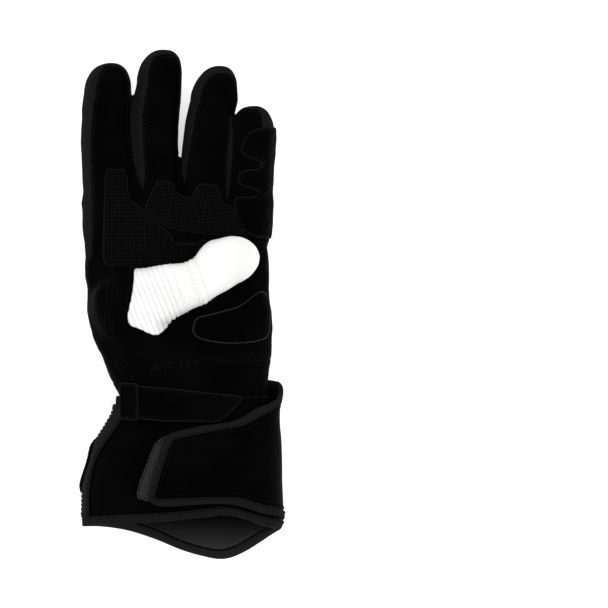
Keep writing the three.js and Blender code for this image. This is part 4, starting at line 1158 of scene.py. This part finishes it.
# The y at which the stitches on a finger's palm side start, left and right, and those on all backs
SEAM_STARTS = {"index": (122, 101), "middle": (68, 68), "ring": (120, 68), "little": (68, 68)}
BACK_STARTS = (66, 68)
hand_seams = []
for name, f in FINGERS.items():
    for face, starts in ((1, SEAM_STARTS[name]), (-1, BACK_STARTS)):
        left, right = (finger_seam(f, side, face, 1.5, start) for side, start in zip((-1, 1), starts))
        line = even_line(np.vstack([left, right[::-1]]), 0.5)
        hand_seams.append(on_surface(black_field, hand, line, 0.12))
for line in (
    [(x + 1.6, y) for x, y in INDEX_OUTER[:-2]],
    [(x - 1.6, y) for x, y in INDEX_INNER],
    [(x + 1.6, y) for x, y in RING_OUTER],
    [(-30.3, 21), (-31.4, 10), (-33.4, -2), (-34.6, -9)],
    [(-42.6, 21), (-44.4, 2.7), (-45.2, -12), (-44, -22), (-39.8, -33.5), (-34.5, -42.5), (-27.4, -48)],
    [(-39.2, 20), (-42, 2.7), (-42.8, -12), (-41.6, -21.5), (-37.6, -31.6), (-32.8, -40), (-26.6, -45)],
    [(-16.6, -35.6), (0, -34.4), (30, -31.9), (53, -31)],
    [(-16.6, -38.8), (0, -37.6), (30, -35.1), (53, -33.6)],
    [(-15.9, -37.8), (-9.9, -47.5)],
    [(-33, -37.2), (-25.4, -28.6), (-20.4, -33.4)],
):
    hand_seams.append(draped(smooth_line(line, 0.6) if len(line) > 3 else line, 0.1))
tubes("hand_stitches", stitches(hand_seams), 0.27, THREAD)


def inset(line, inside):
    """A closed line moved inwards by that many millimetres."""
    ahead = unit(np.gradient(line, axis=0))
    area = 0.5 * np.sum(line[:-1, 0] * line[1:, 1] - line[1:, 0] * line[:-1, 1])
    return line + np.column_stack([-ahead[:, 1], ahead[:, 0]]) * np.sign(area) * inside


def edge_line(outline, inside, thick):
    """A line just inside a sewn piece's outline, on top of it."""
    line = even_line(smooth_line(outline, 0.6, True), 0.6)
    return in_the_open(*draped(inset(line, inside), thick))


def in_the_open(points, out):
    """The parts of a line on the palm that the thumb leaves free."""
    free = (points[:, 0] < 61) & (sample(white_thumb, thumb, points) > 0.6)
    free |= points[:, 1] > thumb.axes[1][-1]
    return [(points[r], out[r]) for r in stretches(free, 4)]


patch_seams, cords = [], []
for outline, thick in ((INDEX_PATCH, PATCH), (FINGER_PATCH, PATCH), (GUARD, 1.6)):
    patch_seams += edge_line(outline, 1.3, thick + 0.1)
    cords += edge_line(outline, 0.0, thick * 0.45)
patch_seams += in_the_open(*draped(smooth_line(PATCH_HEM, 0.6), PATCH + 0.1))
tubes("patch_stitches", stitches(patch_seams), 0.28, CUFF_THREAD)
tubes("patch_cords", cords, 0.42, EDGE_PAINT, taper=False)
tubes("heel_cord", edge_line(HEEL, 0.0, 0.9), 0.5, PAD_CORD, taper=False)


def thumb_ring(at):
    """A line round the thumb, square to it, where it is clear of the palm."""
    turn = np.linspace(0, 2 * np.pi, 160)
    a = read(THUMB, "half", at) * signed_power(np.cos(turn), 2 / FINGER_POWER) + read(THUMB, "across", at)
    b = read(THUMB, "thick", at) * signed_power(np.sin(turn), 2 / FINGER_POWER) + read(THUMB, "z", at)
    c, s = math.cos(THUMB_ANGLE), math.sin(THUMB_ANGLE)
    line = np.stack([at * c - a * s, at * s + a * c, b], axis=1)
    points, out = on_surface(thumb_surface, thumb, line, 0.1)
    clear = (sample(hand_field, hand, points) > 1) | (points[:, 2] > hand.axes[2][-1])
    return [(points[r], out[r]) for r in stretches(clear, 6)]


thumb_seams = thumb_ring(1.8) + thumb_ring(10.9) + thumb_ring(16.9)
tubes("thumb_stitches", stitches(thumb_seams, 1.5, 0.8), 0.26, WHITE_THREAD)


def cuff_line(tab, line, w):
    """A line laid out flat, bent to the cuff with the directions that face out."""
    line = even_line(line, 0.6)
    flat = np.column_stack([line, np.full(len(line), w)])
    points = bend(tab, flat)
    return points, unit(bend(tab, flat + (0, 0, 1)) - points)


cuff_seams = []
turns = np.linspace(0, GIRTH, 700)
above_rim = np.column_stack([turns, rim_edge(turns) - 1.2])
for tab, line, w in (
    (CUFF, inset(closed_line(strap_line), 1.7), strap_top + 0.25),
    (CUFF, inset(closed_line(keeper_line), 1.5), keeper_bed + 1.6),
    (CUFF, inset(closed_line(side_line), 1.3), 1.45),
    (CUFF, inset(closed_line(hook_line), 1.3), 1.5),
    (FLAP, inset(closed_line(flap_inner), -1.3), 0.55),
    (FLAP, inset(closed_line(flap_inner), 1.6), 0.1),
    (CUFF, above_rim, 0.75),
):
    points, out = cuff_line(tab, line, w)
    cuff_seams += [(points[r], out[r]) for r in stretches(points[:, 2] > 0.3, 5)]
tubes("cuff_stitches", stitches(cuff_seams), 0.3, CUFF_THREAD)
cords = [
    cuff_line(CUFF, inset(closed_line(strap_line), 0.1), STRAP_BED + STRAP_THICK * 0.75),
    cuff_line(CUFF, inset(closed_line(keeper_line), 0.1), keeper_bed + 1.0),
    cuff_line(CUFF, inset(closed_line(pad_line), 0.0), 0.8),
]
tubes("cuff_cords", cords, 0.42, EDGE_PAINT, taper=False)


# Stage, in metres
FLOOR_HALF = 4
LAMP_SIZE = 0.9
floor = bpy.data.objects.new("floor", bpy.data.meshes.new("floor"))
corners = [(x * FLOOR_HALF, y * FLOOR_HALF, 0) for x, y in ((-1, -1), (1, -1), (1, 1), (-1, 1))]
floor.data.from_pydata(corners, [], [(0, 1, 2, 3)])
bpy.context.scene.collection.objects.link(floor)
paper = Shader("pale_floor", 0.9, 0.05)
paper.colour(paper.ramp(paper.noise(30.0), (0.93, 0.93, 0.93), (0.95, 0.95, 0.95)))
paper.body.inputs["Emission Color"].default_value = (1, 1, 1, 1)
paper.body.inputs["Emission Strength"].default_value = 0.55
floor.data.materials.append(paper.material)

scene = bpy.context.scene
scene.view_settings.view_transform = "Standard"
world = bpy.data.worlds.new("studio")
scene.world = world
world.use_nodes = True
background = world.node_tree.nodes["Background"]
background.inputs["Color"].default_value = (1, 1, 1, 1)
background.inputs["Strength"].default_value = 0.45
for name, place, power in (
    ("left_light", (-0.9, 0.15, 0.8), 6),
    ("right_light", (0.95, 0.1, 0.8), 5.5),
    ("top_light", (0.05, 1.1, 0.9), 5.5),
    ("low_light", (0.05, -1.0, 0.9), 6),
):
    lamp = bpy.data.lights.new(name, "AREA")
    lamp.size, lamp.energy = LAMP_SIZE, power
    holder = bpy.data.objects.new(name, lamp)
    scene.collection.objects.link(holder)
    holder.location = place
    holder.rotation_euler = (-holder.location).to_track_quat("-Z", "Y").to_euler()

lens = bpy.data.cameras.new("camera")
lens.type = "ORTHO"
lens.ortho_scale = PHOTO_WIDTH * PIXEL * MM
camera = bpy.data.objects.new("camera", lens)
scene.collection.objects.link(camera)
camera.location = ((PHOTO_MIDDLE - GLOVE_MIDDLE) * PIXEL * MM, 0.0, 1.2)
scene.camera = camera
